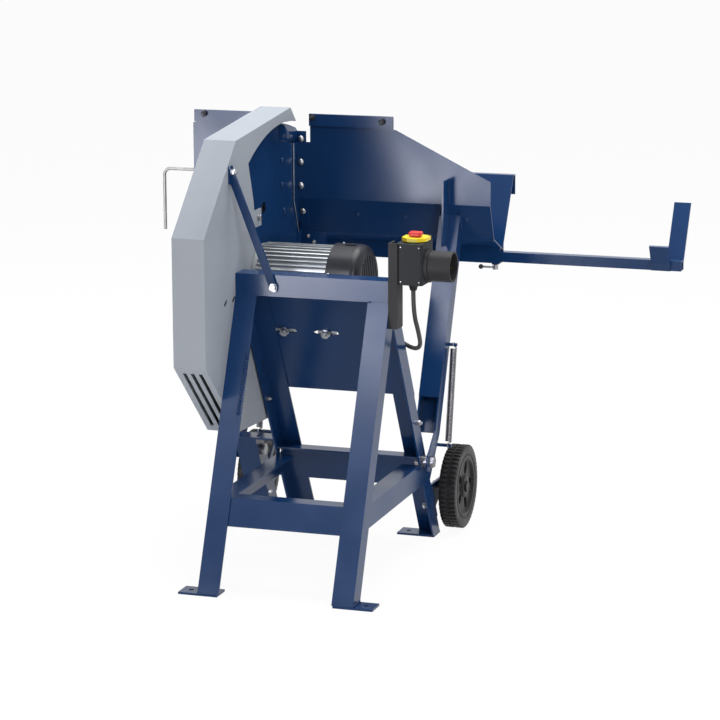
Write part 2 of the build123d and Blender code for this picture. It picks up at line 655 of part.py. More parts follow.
def guard_wall():
    """Side wall of the guard, cut away where the trough swings in."""
    rim = guard_rim()
    lower = rim[-1]
    crown = (PIVOT_Y, PIVOT_Z + GUARD_LOWER_R)
    upper = on_arc(GUARD_MOUTH[0][0], GUARD_LOWER_R)
    mouth = ThreePointArc(lower, crown, upper) + Polyline(upper, *GUARD_MOUTH[1:])
    mouth += ThreePointArc(GUARD_MOUTH[-1], GUARD_MOUTH_ARC[0], GUARD_MOUTH_ARC[1])
    mouth += Polyline(GUARD_MOUTH_ARC[1], GUARD_MOUTH_ARC[2], GUARD_RIM[0])
    return make_face(Polyline(*rim) + mouth)


def guard():
    """Folded guard round the blade, its bolted outer cover and the strut to the top rail."""
    inner_left = -HALF - GUARD_T
    cover_right = GUARD_LEFT + GUARD_T
    wall = guard_wall()
    body = yz_plate(wall, inner_left, -HALF)
    body -= cyl_x(ARBOR_Y, ARBOR_Z, COLLAR_R + GUARD_CLEAR, inner_left, -HALF)
    body += yz_plate(strip(guard_rim(), GUARD_T), cover_right, -HALF)
    body += block(inner_left, -HALF, *GUARD_TAB)
    for y in VENT_YS:
        body -= Pos(-HALF, y, VENT_Z) * Rot(30, 0, 0) * Box(4 * GUARD_T, 18, 7)
    d, e = GUARD_RIM[4], GUARD_RIM[5]
    run = math.dist(d, e) - 2 * CHUTE_END
    slope = math.degrees(math.atan2(e[1] - d[1], e[0] - d[0]))
    middle = ((d[0] + e[0]) / 2, (d[1] + e[1]) / 2)
    gap = GUARD_DEPTH / (CHUTE_SLOTS + 1)
    for i in range(CHUTE_SLOTS):
        slot = Box(CHUTE_SLOT_W, run, 8 * GUARD_T)
        body -= Pos(GUARD_LEFT + (i + 1) * gap, *middle) * Rot(slope, 0, 0) * slot
    parts["guard_body"] = body
    parts["guard_cover"] = yz_plate(wall, GUARD_LEFT, cover_right)
    strut()


def strut():
    """Flat bar from an ear on the guard's wall down to a foot on the top rail."""
    y, z = STRUT_TOP
    wide = STRUT_W / 2
    top = Vector(-HALF + STRUT_T, y, z)
    foot = Vector(STRUT_FOOT_X, FRONT_TOP_Y - STRUT_T / 2, STRUT_FOOT_Z)
    along = (top - foot).normalized()
    face = (Vector(0, -1, 0) - along * along.dot(Vector(0, -1, 0))).normalized()
    place = Plane(origin=(top + foot) / 2, x_dir=along, z_dir=face)
    bar = place * Box((top - foot).length, STRUT_W, STRUT_T)
    bar -= block(-HALF - STRUT_EAR, -HALF, y - STRUT_EAR, y + STRUT_EAR, z - STRUT_EAR, z + STRUT_EAR)
    bar += block(-HALF, -HALF + STRUT_T, y - wide, y + wide, z - STRUT_EAR / 2, z + STRUT_EAR / 2)
    bar += block(STRUT_FOOT_X - wide, STRUT_FOOT_X + wide, FRONT_TOP_Y - STRUT_T, FRONT_TOP_Y,
                 STRUT_FOOT_Z - wide, STRUT_FOOT_Z + wide)
    rail = block(-HALF, HALF, FRONT_TOP_Y, FRONT_TOP_Y + LEG_SIDE, RAIL_BOTTOM, RAIL_TOP)
    parts["guard_strut"] = bar - rail


def wall_shape(points):
    """Room over the wall's face, used to trim the bent sheet to its outline in (X, Z)."""
    return xz_plate(points, WALL_Y - TROUGH_T, TROUGH_BOTTOM[0] + TROUGH_T)


def trough():
    """Two bent rear sheets with the blade slot between them, and one front sheet across both."""
    rear = strip(TROUGH_LINE, TROUGH_T, 0, 3)
    low = TROUGH_BOTTOM[1] - TROUGH_T
    top = WALL_TOP_Z + STRIP_RISE
    beside_guard = -HALF + GUARD_CLEAR
    right = [(SLOT_RIGHT, low), (TROUGH_RIGHT, low), (TROUGH_RIGHT, CORNER_LOW_Z), (CORNER_X, WALL_TOP_Z),
             (STRIP_END_X, WALL_TOP_Z), (STRIP_END_X, top), (beside_guard, top), (beside_guard, NOTCH_Z),
             (SLOT_RIGHT, NOTCH_Z)]
    parts["trough_wall_right"] = yz_plate(rear, SLOT_RIGHT, TROUGH_RIGHT) & wall_shape(right)
    clear_left = GUARD_LEFT - GUARD_CLEAR
    left = [(TROUGH_LEFT, low), (SLOT_LEFT, low), (SLOT_LEFT, NOTCH_Z), (clear_left, NOTCH_Z),
            (clear_left, top), (TROUGH_LEFT + GUARD_CLEAR, top), (TROUGH_LEFT + GUARD_CLEAR, WALL_TOP_Z),
            (TROUGH_LEFT, WALL_TOP_Z)]
    parts["trough_wall_left"] = yz_plate(rear, TROUGH_LEFT, SLOT_LEFT) & wall_shape(left)
    front = yz_plate(strip(TROUGH_LINE, TROUGH_T, 3, 6), TROUGH_LEFT, TROUGH_RIGHT)
    cut = block(SLOT_LEFT, SLOT_RIGHT, TROUGH_BEND[0], TROUGH_FRONT_TOP[0], low - TROUGH_T, SLOT_END_Z)
    parts["trough_front"] = front - cut
    strips = []
    for x0, x1 in ((beside_guard, STRIP_END_X), (TROUGH_LEFT + GUARD_CLEAR, clear_left)):
        strips.append(block(x0, x1, WALL_Y - STRIP_T, WALL_Y, WALL_TOP_Z + STRIP_LIFT, top + STRIP_LIFT))
    parts["top_strips"] = Compound(children=strips)


def cover_shape():
    """Blade cover plate: its lower and top edges are arcs about the pivot, clear of nut and guard."""
    low_r = math.hypot(ARBOR_Y - PIVOT_Y, ARBOR_Z - PIVOT_Z) + ARBOR_NUT_ACROSS / math.sqrt(3) + COVER_CLEAR
    low_end = on_arc(COVER_Y, low_r)
    low_foot = on_arc(COVER_FOOT_Y, low_r)
    top_front = on_arc(WALL_Y, COVER_TOP_R)
    top_end = on_arc(COVER_TOP_Y, COVER_TOP_R)
    edge = ThreePointArc(low_end, (PIVOT_Y, PIVOT_Z + low_r), low_foot)
    edge += Polyline(low_foot, TROUGH_BEND, (WALL_Y, WALL_BEND_Z), top_front)
    edge += ThreePointArc(top_front, on_arc((WALL_Y + COVER_TOP_Y) / 2, COVER_TOP_R), top_end)
    edge += Polyline(top_end, COVER_SHOULDER, (COVER_Y, COVER_CORNER_Z), low_end)
    return make_face(edge)


def blade_covers():
    """Plates on both sides of the slot, running inside the guard, and the angles that hold them."""
    shape = cover_shape()
    right = yz_plate(shape, SLOT_RIGHT, SLOT_RIGHT + COVER_T)
    right -= cyl_x(*COVER_HOLE, COVER_HOLE_R, SLOT_RIGHT, SLOT_RIGHT + COVER_T)
    left = yz_plate(shape, SLOT_LEFT - COVER_T, SLOT_LEFT)
    parts["blade_covers"] = Compound(children=[right, left])
    u, v = unit(TROUGH_BEND[0] - WALL_Y, TROUGH_BEND[1] - WALL_BEND_Z)
    run = math.dist(TROUGH_BEND, (WALL_Y, WALL_BEND_Z)) - COVER_LEG / 2
    line = [(WALL_Y + u * run, WALL_BEND_Z + v * run), (WALL_Y, WALL_BEND_Z), (WALL_Y, NOTCH_Z)]
    angles = []
    for face, side in ((SLOT_RIGHT + COVER_T, 1), (SLOT_LEFT - COVER_T, -1)):
        angle = yz_plate(strip(line, TROUGH_T), face, face + side * COVER_LEG)
        angles.append(angle + yz_plate(strip(line, COVER_LEG), face, face + side * TROUGH_T))
    parts["cover_angles"] = Compound(children=angles)


def arm_point(run, offset):
    """Point at a distance along an arm from the pivot and at an offset to the operator side."""
    lean = math.radians(ARM_LEAN_DEG)
    y = PIVOT_Y + run * math.sin(lean) + offset * math.cos(lean)
    return y, PIVOT_Z + run * math.cos(lean) - offset * math.sin(lean)


def arm_top(offset):
    """Run along the arm at which it meets the trough's sloping facet."""
    lean = math.radians(ARM_LEAN_DEG)

    def local(point):
        y, z = point[0] - PIVOT_Y, point[1] - PIVOT_Z
        return y * math.sin(lean) + z * math.cos(lean), y * math.cos(lean) - z * math.sin(lean)

    s0, o0 = local((WALL_Y, WALL_BEND_Z))
    s1, o1 = local(TROUGH_BEND)
    return s0 + (s1 - s0) * (offset - o0) / (o1 - o0)


def rocker_arm(left_x, pivot_right):
    """Channel with its back to the operator; the flange next to the pivot runs down to it."""
    near, far = ARM_EDGE, ARM_EDGE + ARM_DEPTH
    long_flange = [arm_point(arm_top(near), near), arm_point(arm_top(far), far), arm_point(ARM_FOOT, far),
                   arm_point(0, PIVOT_BOSS_R), arm_point(0, -PIVOT_BOSS_R), arm_point(ARM_FOOT, near)]
    short_flange = [arm_point(arm_top(near), near), arm_point(arm_top(far), far),
                    arm_point(ARM_FOOT, far), arm_point(ARM_FOOT, near)]
    back = [arm_point(arm_top(far - ARM_T), far - ARM_T), arm_point(arm_top(far), far),
            arm_point(ARM_FOOT, far), arm_point(ARM_FOOT, far - ARM_T)]
    right_x = left_x + ARM_WIDTH
    flange_x = (right_x - ARM_T, right_x)
    other_x = (left_x, left_x + ARM_T)
    pivot_x, plain_x = (flange_x, other_x) if pivot_right else (other_x, flange_x)
    arm = yz_plate(long_flange, *pivot_x) + cyl_x(PIVOT_Y, PIVOT_Z, PIVOT_BOSS_R, *pivot_x)
    arm += yz_plate(short_flange, *plain_x) + yz_plate(back, left_x, right_x)
    return arm - cyl_x(PIVOT_Y, PIVOT_Z, PIVOT_R + RUN_FIT, *pivot_x)


def arms():
    """Both arms, the plates over their open sides and the ribs up the trough's wall."""
    right_x = ARM_RIGHT_X - ARM_WIDTH
    parts["rocker_arm_right"] = rocker_arm(right_x, True)
    parts["rocker_arm_left"] = rocker_arm(ARM_LEFT_X, True)
    near, out = ARM_EDGE, ARM_EDGE - TROUGH_T
    cover = [arm_point(ARM_COVER_FOOT, out), arm_point(ARM_COVER_FOOT, near),
             arm_point(arm_top(near), near), arm_point(arm_top(out), out)]
    lean = math.radians(ARM_LEAN_DEG)
    rib_run = (RIB_FOOT[1] - PIVOT_Z + out * math.sin(lean)) / math.cos(lean)
    rib = [RIB_FOOT, arm_point(rib_run, out), arm_point(arm_top(out), out), (WALL_Y, WALL_BEND_Z),
           (WALL_Y, RIB_TOP[1]), RIB_TOP]
    braces = []
    for x in (right_x, ARM_LEFT_X):
        middle = x + ARM_WIDTH / 2
        braces.append(yz_plate(cover, x, x + ARM_WIDTH))
        braces.append(yz_plate(rib, middle - ARM_T / 2, middle + ARM_T / 2))
    parts["arm_braces"] = Compound(children=braces)


def pivots():
    """Outrigger channel and the two pivot bolts."""
    z0, z1 = OUTRIGGER_FOOT, OUTRIGGER_TOP
    cheek = [(rear_y(z0) - LEG_SIDE, z0), (rear_y(z0), z0), (rear_y(z1), z1), (rear_y(z1) - LEG_SIDE, z1)]
    web = [(rear_y(z0) - LEG_SIDE, z0), (rear_y(z0) - LEG_SIDE + REAR_T, z0),
           (rear_y(z1) - LEG_SIDE + REAR_T, z1), (rear_y(z1) - LEG_SIDE, z1)]
    channel = yz_plate(cheek, OUTRIGGER_LEFT, OUTRIGGER_LEFT + LEG_T)
    channel += yz_plate(cheek, OUTRIGGER_RIGHT - LEG_T, OUTRIGGER_RIGHT)
    channel += yz_plate(web, OUTRIGGER_LEFT, OUTRIGGER_RIGHT)
    channel -= cyl_x(PIVOT_Y, PIVOT_Z, PIVOT_R, OUTRIGGER_LEFT, OUTRIGGER_RIGHT)
    lid = block(OUTRIGGER_LEFT, -REAR_HALF, rear_y(z1) - LEG_SIDE, rear_y(z1), z1, z1 + OUTRIGGER_LID)
    parts["outrigger"] = channel + lid
    bolts = []
    arm_left = ARM_LEFT_X + ARM_WIDTH - ARM_T
    left = cyl_x(PIVOT_Y, PIVOT_Z, PIVOT_R, arm_left - NUT_T, OUTRIGGER_RIGHT)
    left += hex_x(PIVOT_Y, PIVOT_Z, NUT_ACROSS, OUTRIGGER_RIGHT, OUTRIGGER_RIGHT + HEAD_T)
    bolts.append(left + hex_x(PIVOT_Y, PIVOT_Z, NUT_ACROSS, arm_left - NUT_T - SEAT_GAP, arm_left - SEAT_GAP))
    inner = REAR_HALF - LEG_T
    arm_in = ARM_RIGHT_X - ARM_T - SEAT_GAP
    arm_out = ARM_RIGHT_X + SEAT_GAP
    right = cyl_x(PIVOT_Y, PIVOT_Z, PIVOT_R, inner - NUT_T, arm_out + HEAD_T)
    right += hex_x(PIVOT_Y, PIVOT_Z, NUT_ACROSS, inner - NUT_T, inner)
    right += cyl_x(PIVOT_Y, PIVOT_Z, PIVOT_R + SPACER_WALL, REAR_HALF, arm_in)
    bolts.append(right + hex_x(PIVOT_Y, PIVOT_Z, NUT_ACROSS, arm_out, arm_out + HEAD_T))
    parts["pivot_bolts"] = Compound(children=bolts)


def axle_bracket(x, base, base_x):
    """Foot plate along the leg and a cheek that reaches out to the axle."""
    foot = [(base(BRACKET_LOW), BRACKET_LOW), (base(BRACKET_LOW) + BRACKET_T, BRACKET_LOW),
            (base(BRACKET_HIGH) + BRACKET_T, BRACKET_HIGH), (base(BRACKET_HIGH), BRACKET_HIGH)]
    cheek = [(base(BRACKET_LOW), BRACKET_LOW), (WHEEL_Y, WHEEL_Z - BRACKET_EAR_R),
             (WHEEL_Y, WHEEL_Z + BRACKET_EAR_R), (base(BRACKET_HIGH), BRACKET_HIGH)]
    bracket = yz_plate(foot, *base_x) + yz_plate(cheek, x, x + BRACKET_T)
    bracket += cyl_x(WHEEL_Y, WHEEL_Z, BRACKET_EAR_R, x, x + BRACKET_T)
    return bracket - cyl_x(WHEEL_Y, WHEEL_Z, AXLE_R, x, x + BRACKET_T)


def wheel(x):
    """Moulded wheel: two rows of tread lugs, a recessed disc and radial openings."""
    row_t = (WHEEL_WIDTH - TREAD_GROOVE) / 2
    step = 2 * math.pi / LUG_COUNT

    def row(x0, x1, turn):
        outline = []
        for i in range(LUG_COUNT):
            for k, r in ((0, WHEEL_R), (0.6, WHEEL_R), (0.6, WHEEL_R - LUG_DEPTH), (1, WHEEL_R - LUG_DEPTH)):
                a = (i + k + turn) * step
                outline.append((r * math.cos(a), r * math.sin(a)))
        return yz_plate(outline, x0, x1)

    body = row(0, row_t, 0) + row(WHEEL_WIDTH - row_t, WHEEL_WIDTH, 0.5)
    body += cyl_x(0, 0, WHEEL_R - LUG_DEPTH, row_t, WHEEL_WIDTH - row_t)
    recess = WHEEL_WIDTH * 0.32
    for x0, x1 in ((0, recess), (WHEEL_WIDTH - recess, WHEEL_WIDTH)):
        body -= cyl_x(0, 0, RIM_R, x0, x1) - cyl_x(0, 0, HUB_R, x0, x1)
    window = Pos((HUB_R + RIM_R) / 2, 0) * SlotOverall(RIM_R - HUB_R - 2 * WINDOW_EDGE, WINDOW_WIDTH)
    windows = Sketch() + [Rot(0, 0, i * 360 / SPOKES) * window for i in range(SPOKES)]
    body -= yz_plate(windows, 0, WHEEL_WIDTH)
    body -= cyl_x(0, 0, AXLE_R + RUN_FIT, 0, WHEEL_WIDTH)
    return Pos(x, WHEEL_Y, WHEEL_Z) * body


def wheels():
    """Both wheels, their stub axles with end caps and the axle brackets."""
    parts["wheel_right"] = wheel(WHEEL_RIGHT_X)
    parts["wheel_left"] = wheel(WHEEL_LEFT_X)
    right_base = (REAR_HALF - LEG_SIDE, REAR_HALF)
    left_base = (OUTRIGGER_LEFT + LEG_T, OUTRIGGER_RIGHT - LEG_T)
    right = axle_bracket(BRACKET_RIGHT_X, rear_y, right_base)
    left = axle_bracket(BRACKET_LEFT_X, lambda z: rear_y(z) - LEG_SIDE + REAR_T, left_base)
    left -= block(OUTRIGGER_LEFT, OUTRIGGER_RIGHT, 0, WHEEL_Y, 0, OUTRIGGER_FOOT)
    parts["axle_brackets"] = Compound(children=[left, right])
    stubs = []
    for inner, hub_in, hub_out, out in (
            (BRACKET_RIGHT_X - AXLE_TAIL, WHEEL_RIGHT_X, WHEEL_RIGHT_X + WHEEL_WIDTH, 1),
            (BRACKET_LEFT_X + BRACKET_T + AXLE_TAIL, WHEEL_LEFT_X + WHEEL_WIDTH, WHEEL_LEFT_X, -1)):
        end = hub_out + out * (SEAT_GAP + AXLE_CAP_T)
        shoulder = hub_in - out * SEAT_GAP
        stub = cyl_x(WHEEL_Y, WHEEL_Z, AXLE_R, inner, end)
        stub += cyl_x(WHEEL_Y, WHEEL_Z, AXLE_R + AXLE_CAP_WALL, hub_out + out * SEAT_GAP, end)
        stub += cyl_x(WHEEL_Y, WHEEL_Z, AXLE_R + AXLE_CAP_WALL, shoulder - out * AXLE_CAP_T, shoulder)
        stubs.append(stub)
    parts["wheel_axles"] = Compound(children=stubs)


def under_trough(y):
    """Height of the trough's outer face above a point under its bottom fold."""
    y0, z0 = TROUGH_BOTTOM
    other = TROUGH_BEND if y < y0 else TROUGH_FRONT_TOP
    return z0 + (other[1] - z0) * (y - y0) / (other[0] - y0)


def extension():
    """Sleeve, sliding tube with its cradle, clamp screw with lever and knob."""
    half = TUBE / 2
    room = half + SLIDE_GAP
    wall = room + SLEEVE_T
    floor = TUBE_BOTTOM - SLIDE_GAP
    corners = [(TUBE_Y - wall, floor - SLEEVE_T), (TUBE_Y + wall, floor - SLEEVE_T)]
    corners += [(y, under_trough(y)) for y in (TUBE_Y + wall, TUBE_Y + room)]
    corners += [(TUBE_Y + room, floor), (TUBE_Y - room, floor)]
    corners += [(y, under_trough(y)) for y in (TUBE_Y - room, TUBE_Y - wall)]
    sleeve = yz_plate(corners, SLEEVE_LEFT, TROUGH_RIGHT)
    boss_low = floor - SLEEVE_T - CLAMP_BOSS
    sleeve += cyl_z(CLAMP_X, TUBE_Y, CLAMP_BOSS_R, boss_low, floor - SLEEVE_T)
    parts["extension_sleeve"] = sleeve - cyl_z(CLAMP_X, TUBE_Y, CLAMP_R + RUN_FIT, boss_low, floor)
    tube = block(TUBE_LEFT, TUBE_RIGHT, TUBE_Y - half, TUBE_Y + half, TUBE_BOTTOM, TUBE_TOP)
    bore = half - TUBE_T
    tube -= block(TUBE_LEFT, TUBE_RIGHT, TUBE_Y - bore, TUBE_Y + bore,
                  TUBE_BOTTOM + TUBE_T, TUBE_TOP - TUBE_T)
    parts["extension_tube"] = tube
    u, v = unit(TROUGH_FRONT_TOP[0] - TROUGH_BOTTOM[0], TROUGH_FRONT_TOP[1] - TROUGH_BOTTOM[1])
    fold = TUBE_TOP - half / 2
    outer, inner = TUBE_Y + half, TUBE_Y - half
    tall = [(outer + u * CRADLE_TALL, fold + v * CRADLE_TALL), (outer, fold), (outer, TUBE_BOTTOM)]
    short = [(inner, TUBE_BOTTOM), (inner, fold), (inner - u * CRADLE_SHORT, fold + v * CRADLE_SHORT)]
    plates = [yz_plate(strip(tall, CRADLE_T), TUBE_RIGHT - CRADLE_TALL_W, TUBE_RIGHT),
              yz_plate(strip(short, CRADLE_T), CRADLE_SHORT_X, CRADLE_SHORT_X + CRADLE_SHORT_W)]
    parts["cradle_plates"] = Compound(children=plates)
    tip = TUBE_BOTTOM - SEAT_GAP
    head_low = boss_low - CLAMP_DROP
    screw = cyl_z(CLAMP_X, TUBE_Y, CLAMP_R, head_low, tip)
    screw += cyl_z(CLAMP_X, TUBE_Y, CLAMP_HEAD_R, head_low, head_low + CLAMP_HEAD)
    lever_z = head_low + CLAMP_HEAD / 2
    lever_end = CLAMP_X - CLAMP_LEVER
    parts["clamp_screw"] = screw + cyl_x(TUBE_Y, lever_z, CLAMP_LEVER_R, lever_end, CLAMP_X)
    knob = Pos(lever_end - KNOB_R + KNOB_GRIP, TUBE_Y, lever_z) * Rot(0, 90, 0) * Sphere(KNOB_R)
    parts["clamp_knob"] = knob - cyl_x(TUBE_Y, lever_z, CLAMP_LEVER_R + RUN_FIT, lever_end, CLAMP_X)


def length_stop():
    """Bent rod and its guides."""
    wall = WALL_Y + TROUGH_T
    rod_y = wall + GUIDE / 2
    guides = []
    for x in GUIDE_XS:
        x0, x1 = x - GUIDE_LENGTH / 2, x + GUIDE_LENGTH / 2
        guide = block(x0, x1, wall, wall + GUIDE, ROD_Z - GUIDE / 2, ROD_Z + GUIDE / 2)
        guides.append(guide - cyl_x(rod_y, ROD_Z, ROD_R + RUN_FIT, x0, x1))
    parts["rod_guides"] = Compound(children=guides)
    path = FilletPolyline((ROD_IN_X, rod_y, ROD_Z), (ROD_OUT_X, rod_y, ROD_Z), (ROD_OUT_X, rod_y, ROD_DROP_Z),
                          radius=ROD_BEND_R)
    parts["stop_rod"] = sweep(Plane(path @ 0, z_dir=path % 0) * Circle(ROD_R), path=path)


def switch():
    """Switch box on its bracket, with the lid, the stop pad, the start button and the inlet."""
    channel = (SWITCH_FRONT, SWITCH_FRONT + CHANNEL_DEPTH, CHANNEL_FOOT_Z, SWITCH_TOP)
    bracket = block(HALF, HALF + LEG_T, *channel)
    bracket += block(SWITCH_LEFT - LEG_T, SWITCH_LEFT, *channel)
    bracket += block(HALF, SWITCH_LEFT, SWITCH_FRONT, SWITCH_FRONT + LEG_T, CHANNEL_FOOT_Z, SWITCH_TOP)
    parts["switch_bracket"] = bracket
    mid_x = (SWITCH_LEFT + SWITCH_RIGHT) / 2
    mid_y = (SWITCH_FRONT + SWITCH_BACK) / 2
    box = block(SWITCH_LEFT, SWITCH_RIGHT, SWITCH_FRONT, SWITCH_BACK, SWITCH_LOW, SWITCH_TOP)
    box = fillet(box.edges().filter_by(Axis.Z), SWITCH_ROUND)
    hinge_z = SWITCH_TOP + LID_GAP + LID_T / 2
    knuckle = (mid_x - KNUCKLE / 2, mid_x + KNUCKLE / 2)
    ear = KNUCKLE / 2 + KNUCKLE_PLAY + HINGE_EAR
    for x in (mid_x - ear, mid_x + ear):
        box += block(x - HINGE_EAR, x + HINGE_EAR, LID_HINGE_Y - LID_HINGE_R, LID_HINGE_Y + LID_HINGE_R,
                     SWITCH_TOP, hinge_z + LID_HINGE_R)
    box += cyl_x(LID_HINGE_Y, hinge_z, LID_PIN_R, mid_x - ear, mid_x + ear)
    lid_mid_y = LID_HINGE_Y - LID_SPAN / 2
    box -= cyl_z(mid_x, lid_mid_y, PAD_STEM_R + 2, SWITCH_TOP - 10, SWITCH_TOP)
    button_y = lid_mid_y - PAD_STEM_R - BUTTON_GAP - BUTTON / 2
    pocket = BUTTON / 2 + SEAT_GAP
    box -= block(mid_x - pocket, mid_x + pocket, button_y - pocket, button_y + pocket,
                 SWITCH_TOP - BUTTON - BUTTON_TRAVEL, SWITCH_TOP)
    parts["switch_box"] = box
    button = (mid_x - BUTTON / 2, mid_x + BUTTON / 2, button_y - BUTTON / 2, button_y + BUTTON / 2)
    parts["start_button"] = block(*button, SWITCH_TOP - BUTTON + SEAT_GAP, SWITCH_TOP + LID_GAP / 2)
    lid = Pos(mid_x, lid_mid_y, hinge_z) * Box(LID_SPAN, LID_SPAN, LID_T)
    lid = chamfer(lid.edges().filter_by(Axis.Z).sort_by(Axis.Y)[:2], LID_CORNER)
    for x0, x1 in ((mid_x - LID_SPAN, knuckle[0]), (knuckle[1], mid_x + LID_SPAN)):
        lid -= block(x0, x1, LID_HINGE_Y - KNUCKLE_ROOM, LID_HINGE_Y + KNUCKLE_ROOM,
                     SWITCH_TOP, hinge_z + LID_T)
    lid += cyl_x(LID_HINGE_Y, hinge_z, LID_HINGE_R, *knuckle)
    lid -= cyl_x(LID_HINGE_Y, hinge_z, LID_PIN_R + RUN_FIT, *knuckle)
    lid_top = hinge_z + LID_T / 2
    parts["switch_lid"] = lid - cyl_z(mid_x, lid_mid_y, PAD_STEM_R + SEAT_GAP, SWITCH_TOP, lid_top)
    cap_low = lid_top + PAD_TRAVEL + SEAT_GAP
    cap = Pos(mid_x, lid_mid_y, cap_low + PAD_T / 2) * Box(PAD_WIDTH, PAD_DEPTH, PAD_T)
    cap = fillet(cap.edges().filter_by(Axis.Z), 2 * PAD_ROUND)
    cap = fillet(cap.edges().group_by(Axis.Z)[-1], PAD_ROUND)
    pad = cap + cyl_z(mid_x, lid_mid_y, PAD_STEM_R, SWITCH_TOP + SEAT_GAP, cap_low)
    pad += cyl_z(mid_x, lid_mid_y, PAD_STEM_R + 1.5, SWITCH_TOP + SEAT_GAP, SWITCH_TOP + LID_GAP - SEAT_GAP)
    parts["stop_pad"] = pad
    inlet_z = (SWITCH_LOW + SWITCH_TOP) / 2 - INLET_DROP
    end = SWITCH_RIGHT + INLET_LENGTH
    collar = cyl_x(mid_y, inlet_z, INLET_R, SWITCH_RIGHT, end)
    collar += cyl_x(mid_y, inlet_z, INLET_R + INLET_RIM, SWITCH_RIGHT, SWITCH_RIGHT + INLET_RIM_T)
    floor = SWITCH_RIGHT + INLET_FLOOR
    parts["inlet_collar"] = collar - cyl_x(mid_y, inlet_z, INLET_R - INLET_WALL, floor, end)
    pins = []
    for i in range(PIN_COUNT):
        a = math.radians(i * 360 / PIN_COUNT)
        y, z = mid_y + PIN_RING_R * math.sin(a), inlet_z - PIN_RING_R * math.cos(a)
        pins.append(cyl_x(y, z, PIN_R, floor, end - PIN_SHORT))
    parts["inlet_pins"] = Compound(children=pins)
    x, y, z = LEAD[0]
    under = cyl_z(x, y, GLAND_R, z, SWITCH_LOW) - cyl_z(x, y, LEAD_R, z, z + GLAND_SOCKET)
    x, y, z = LEAD[-1]
    beside = cyl_x(y, z, GLAND_R, x - GLAND_LENGTH, x) - cyl_x(y, z, LEAD_R, x - GLAND_SOCKET, x)
    parts["cable_glands"] = Compound(children=[under, beside])


def motor_lead():
    """Lead as a tube of straight runs and tangent arcs, each as large as its runs allow."""
    radii = []
    for before, here, after in zip(LEAD, LEAD[1:], LEAD[2:]):
        v0 = Vector(*here) - Vector(*before)
        v1 = Vector(*after) - Vector(*here)
        half_turn = math.radians(v0.get_angle(v1)) / 2
        radii.append(0.45 * min(v0.length, v1.length) / math.tan(half_turn))
    print("lead radii", [round(r, 1) for r in radii])
    path = FilletPolyline(*LEAD, radius=radii)
    tube = sweep(Plane(path @ 0, z_dir=path % 0) * Circle(LEAD_R), path=path)
    print("lead length", round(path.length, 1), "volume ratio",
          round(tube.volume / (math.pi * LEAD_R ** 2 * path.length), 4))
    parts["motor_lead"] = tube


def biarc(p0, t0, p1, t1):
    """Two tangent arcs from one point and direction to another."""
    v = p1 - p0
    t = t0 + t1
    k = 2 * (1 - t0.dot(t1))
    b = v.dot(t)
    d = (math.sqrt(b * b + k * v.dot(v)) - b) / k
    q0, q1 = p0 + t0 * d, p1 - t1 * d
    middle = (q0 + q1) / 2
    first = Edge.make_tangent_arc(p0, t0, middle)
    return [first, Edge.make_tangent_arc(middle, (q1 - q0).normalized(), p1)]


def spring_nodes(length):
    """Points and directions of a hooked extension spring along +Z, its coils a quarter turn apart."""
    turns = round(length / SPRING_PITCH)
    r = SPRING_R
    hook = [(Vector(0, r, r + 1), Vector(0, 0, 1)), (Vector(0, 0, 2 * r + 1), Vector(0, -1, 0)),
            (Vector(0, -r, r + 1), Vector(0, 0, -1))]
    coil = []
    for i in range(4 * turns + 1):
        a = i * math.pi / 2
        rise = length / turns / (2 * math.pi)
        coil.append((Vector(r * math.cos(a), r * math.sin(a), i * length / (4 * turns)),
                     Vector(-r * math.sin(a), r * math.cos(a), rise).normalized()))
    top = [(p + Vector(0, 0, length), d) for p, d in hook]
    foot = [(Vector(p.X, -p.Y, -p.Z), Vector(-d.X, d.Y, d.Z)) for p, d in hook[::-1]]
    return foot + coil + top


def spring(x):
    """Extension spring between its two pegs, in the plane of the arm's swing."""
    rise = math.dist(SPRING_FOOT, SPRING_TOP)
    length = rise - 2 * (SPRING_R + 1) - 2 * (SPRING_R - WIRE_R - PEG_R - SEAT_GAP)
    nodes = spring_nodes(length)
    edges = []
    for (p0, t0), (p1, t1) in zip(nodes, nodes[1:]):
        edges += biarc(p0, t0, p1, t1)
    path = Wire(edges)
    tube = sweep(Plane(origin=nodes[0][0], z_dir=nodes[0][1]) * Circle(WIRE_R), path=path)
    samples = [path @ (i / 900) for i in range(901)]
    apart = math.ceil(900 * math.pi * SPRING_R / path.length)
    gap = min((samples[i] - samples[j]).length for i in range(901) for j in range(i + apart, 901))
    print("spring turns", (len(nodes) - 7) // 4, "least gap to itself", round(gap - 2 * WIRE_R, 2))
    lean = math.degrees(math.atan2(SPRING_TOP[0] - SPRING_FOOT[0], SPRING_TOP[1] - SPRING_FOOT[1]))
    start = (rise - length) / 2
    return Pos(x, *SPRING_FOOT) * Rot(-lean, 0, 0) * Pos(0, 0, start) * tube


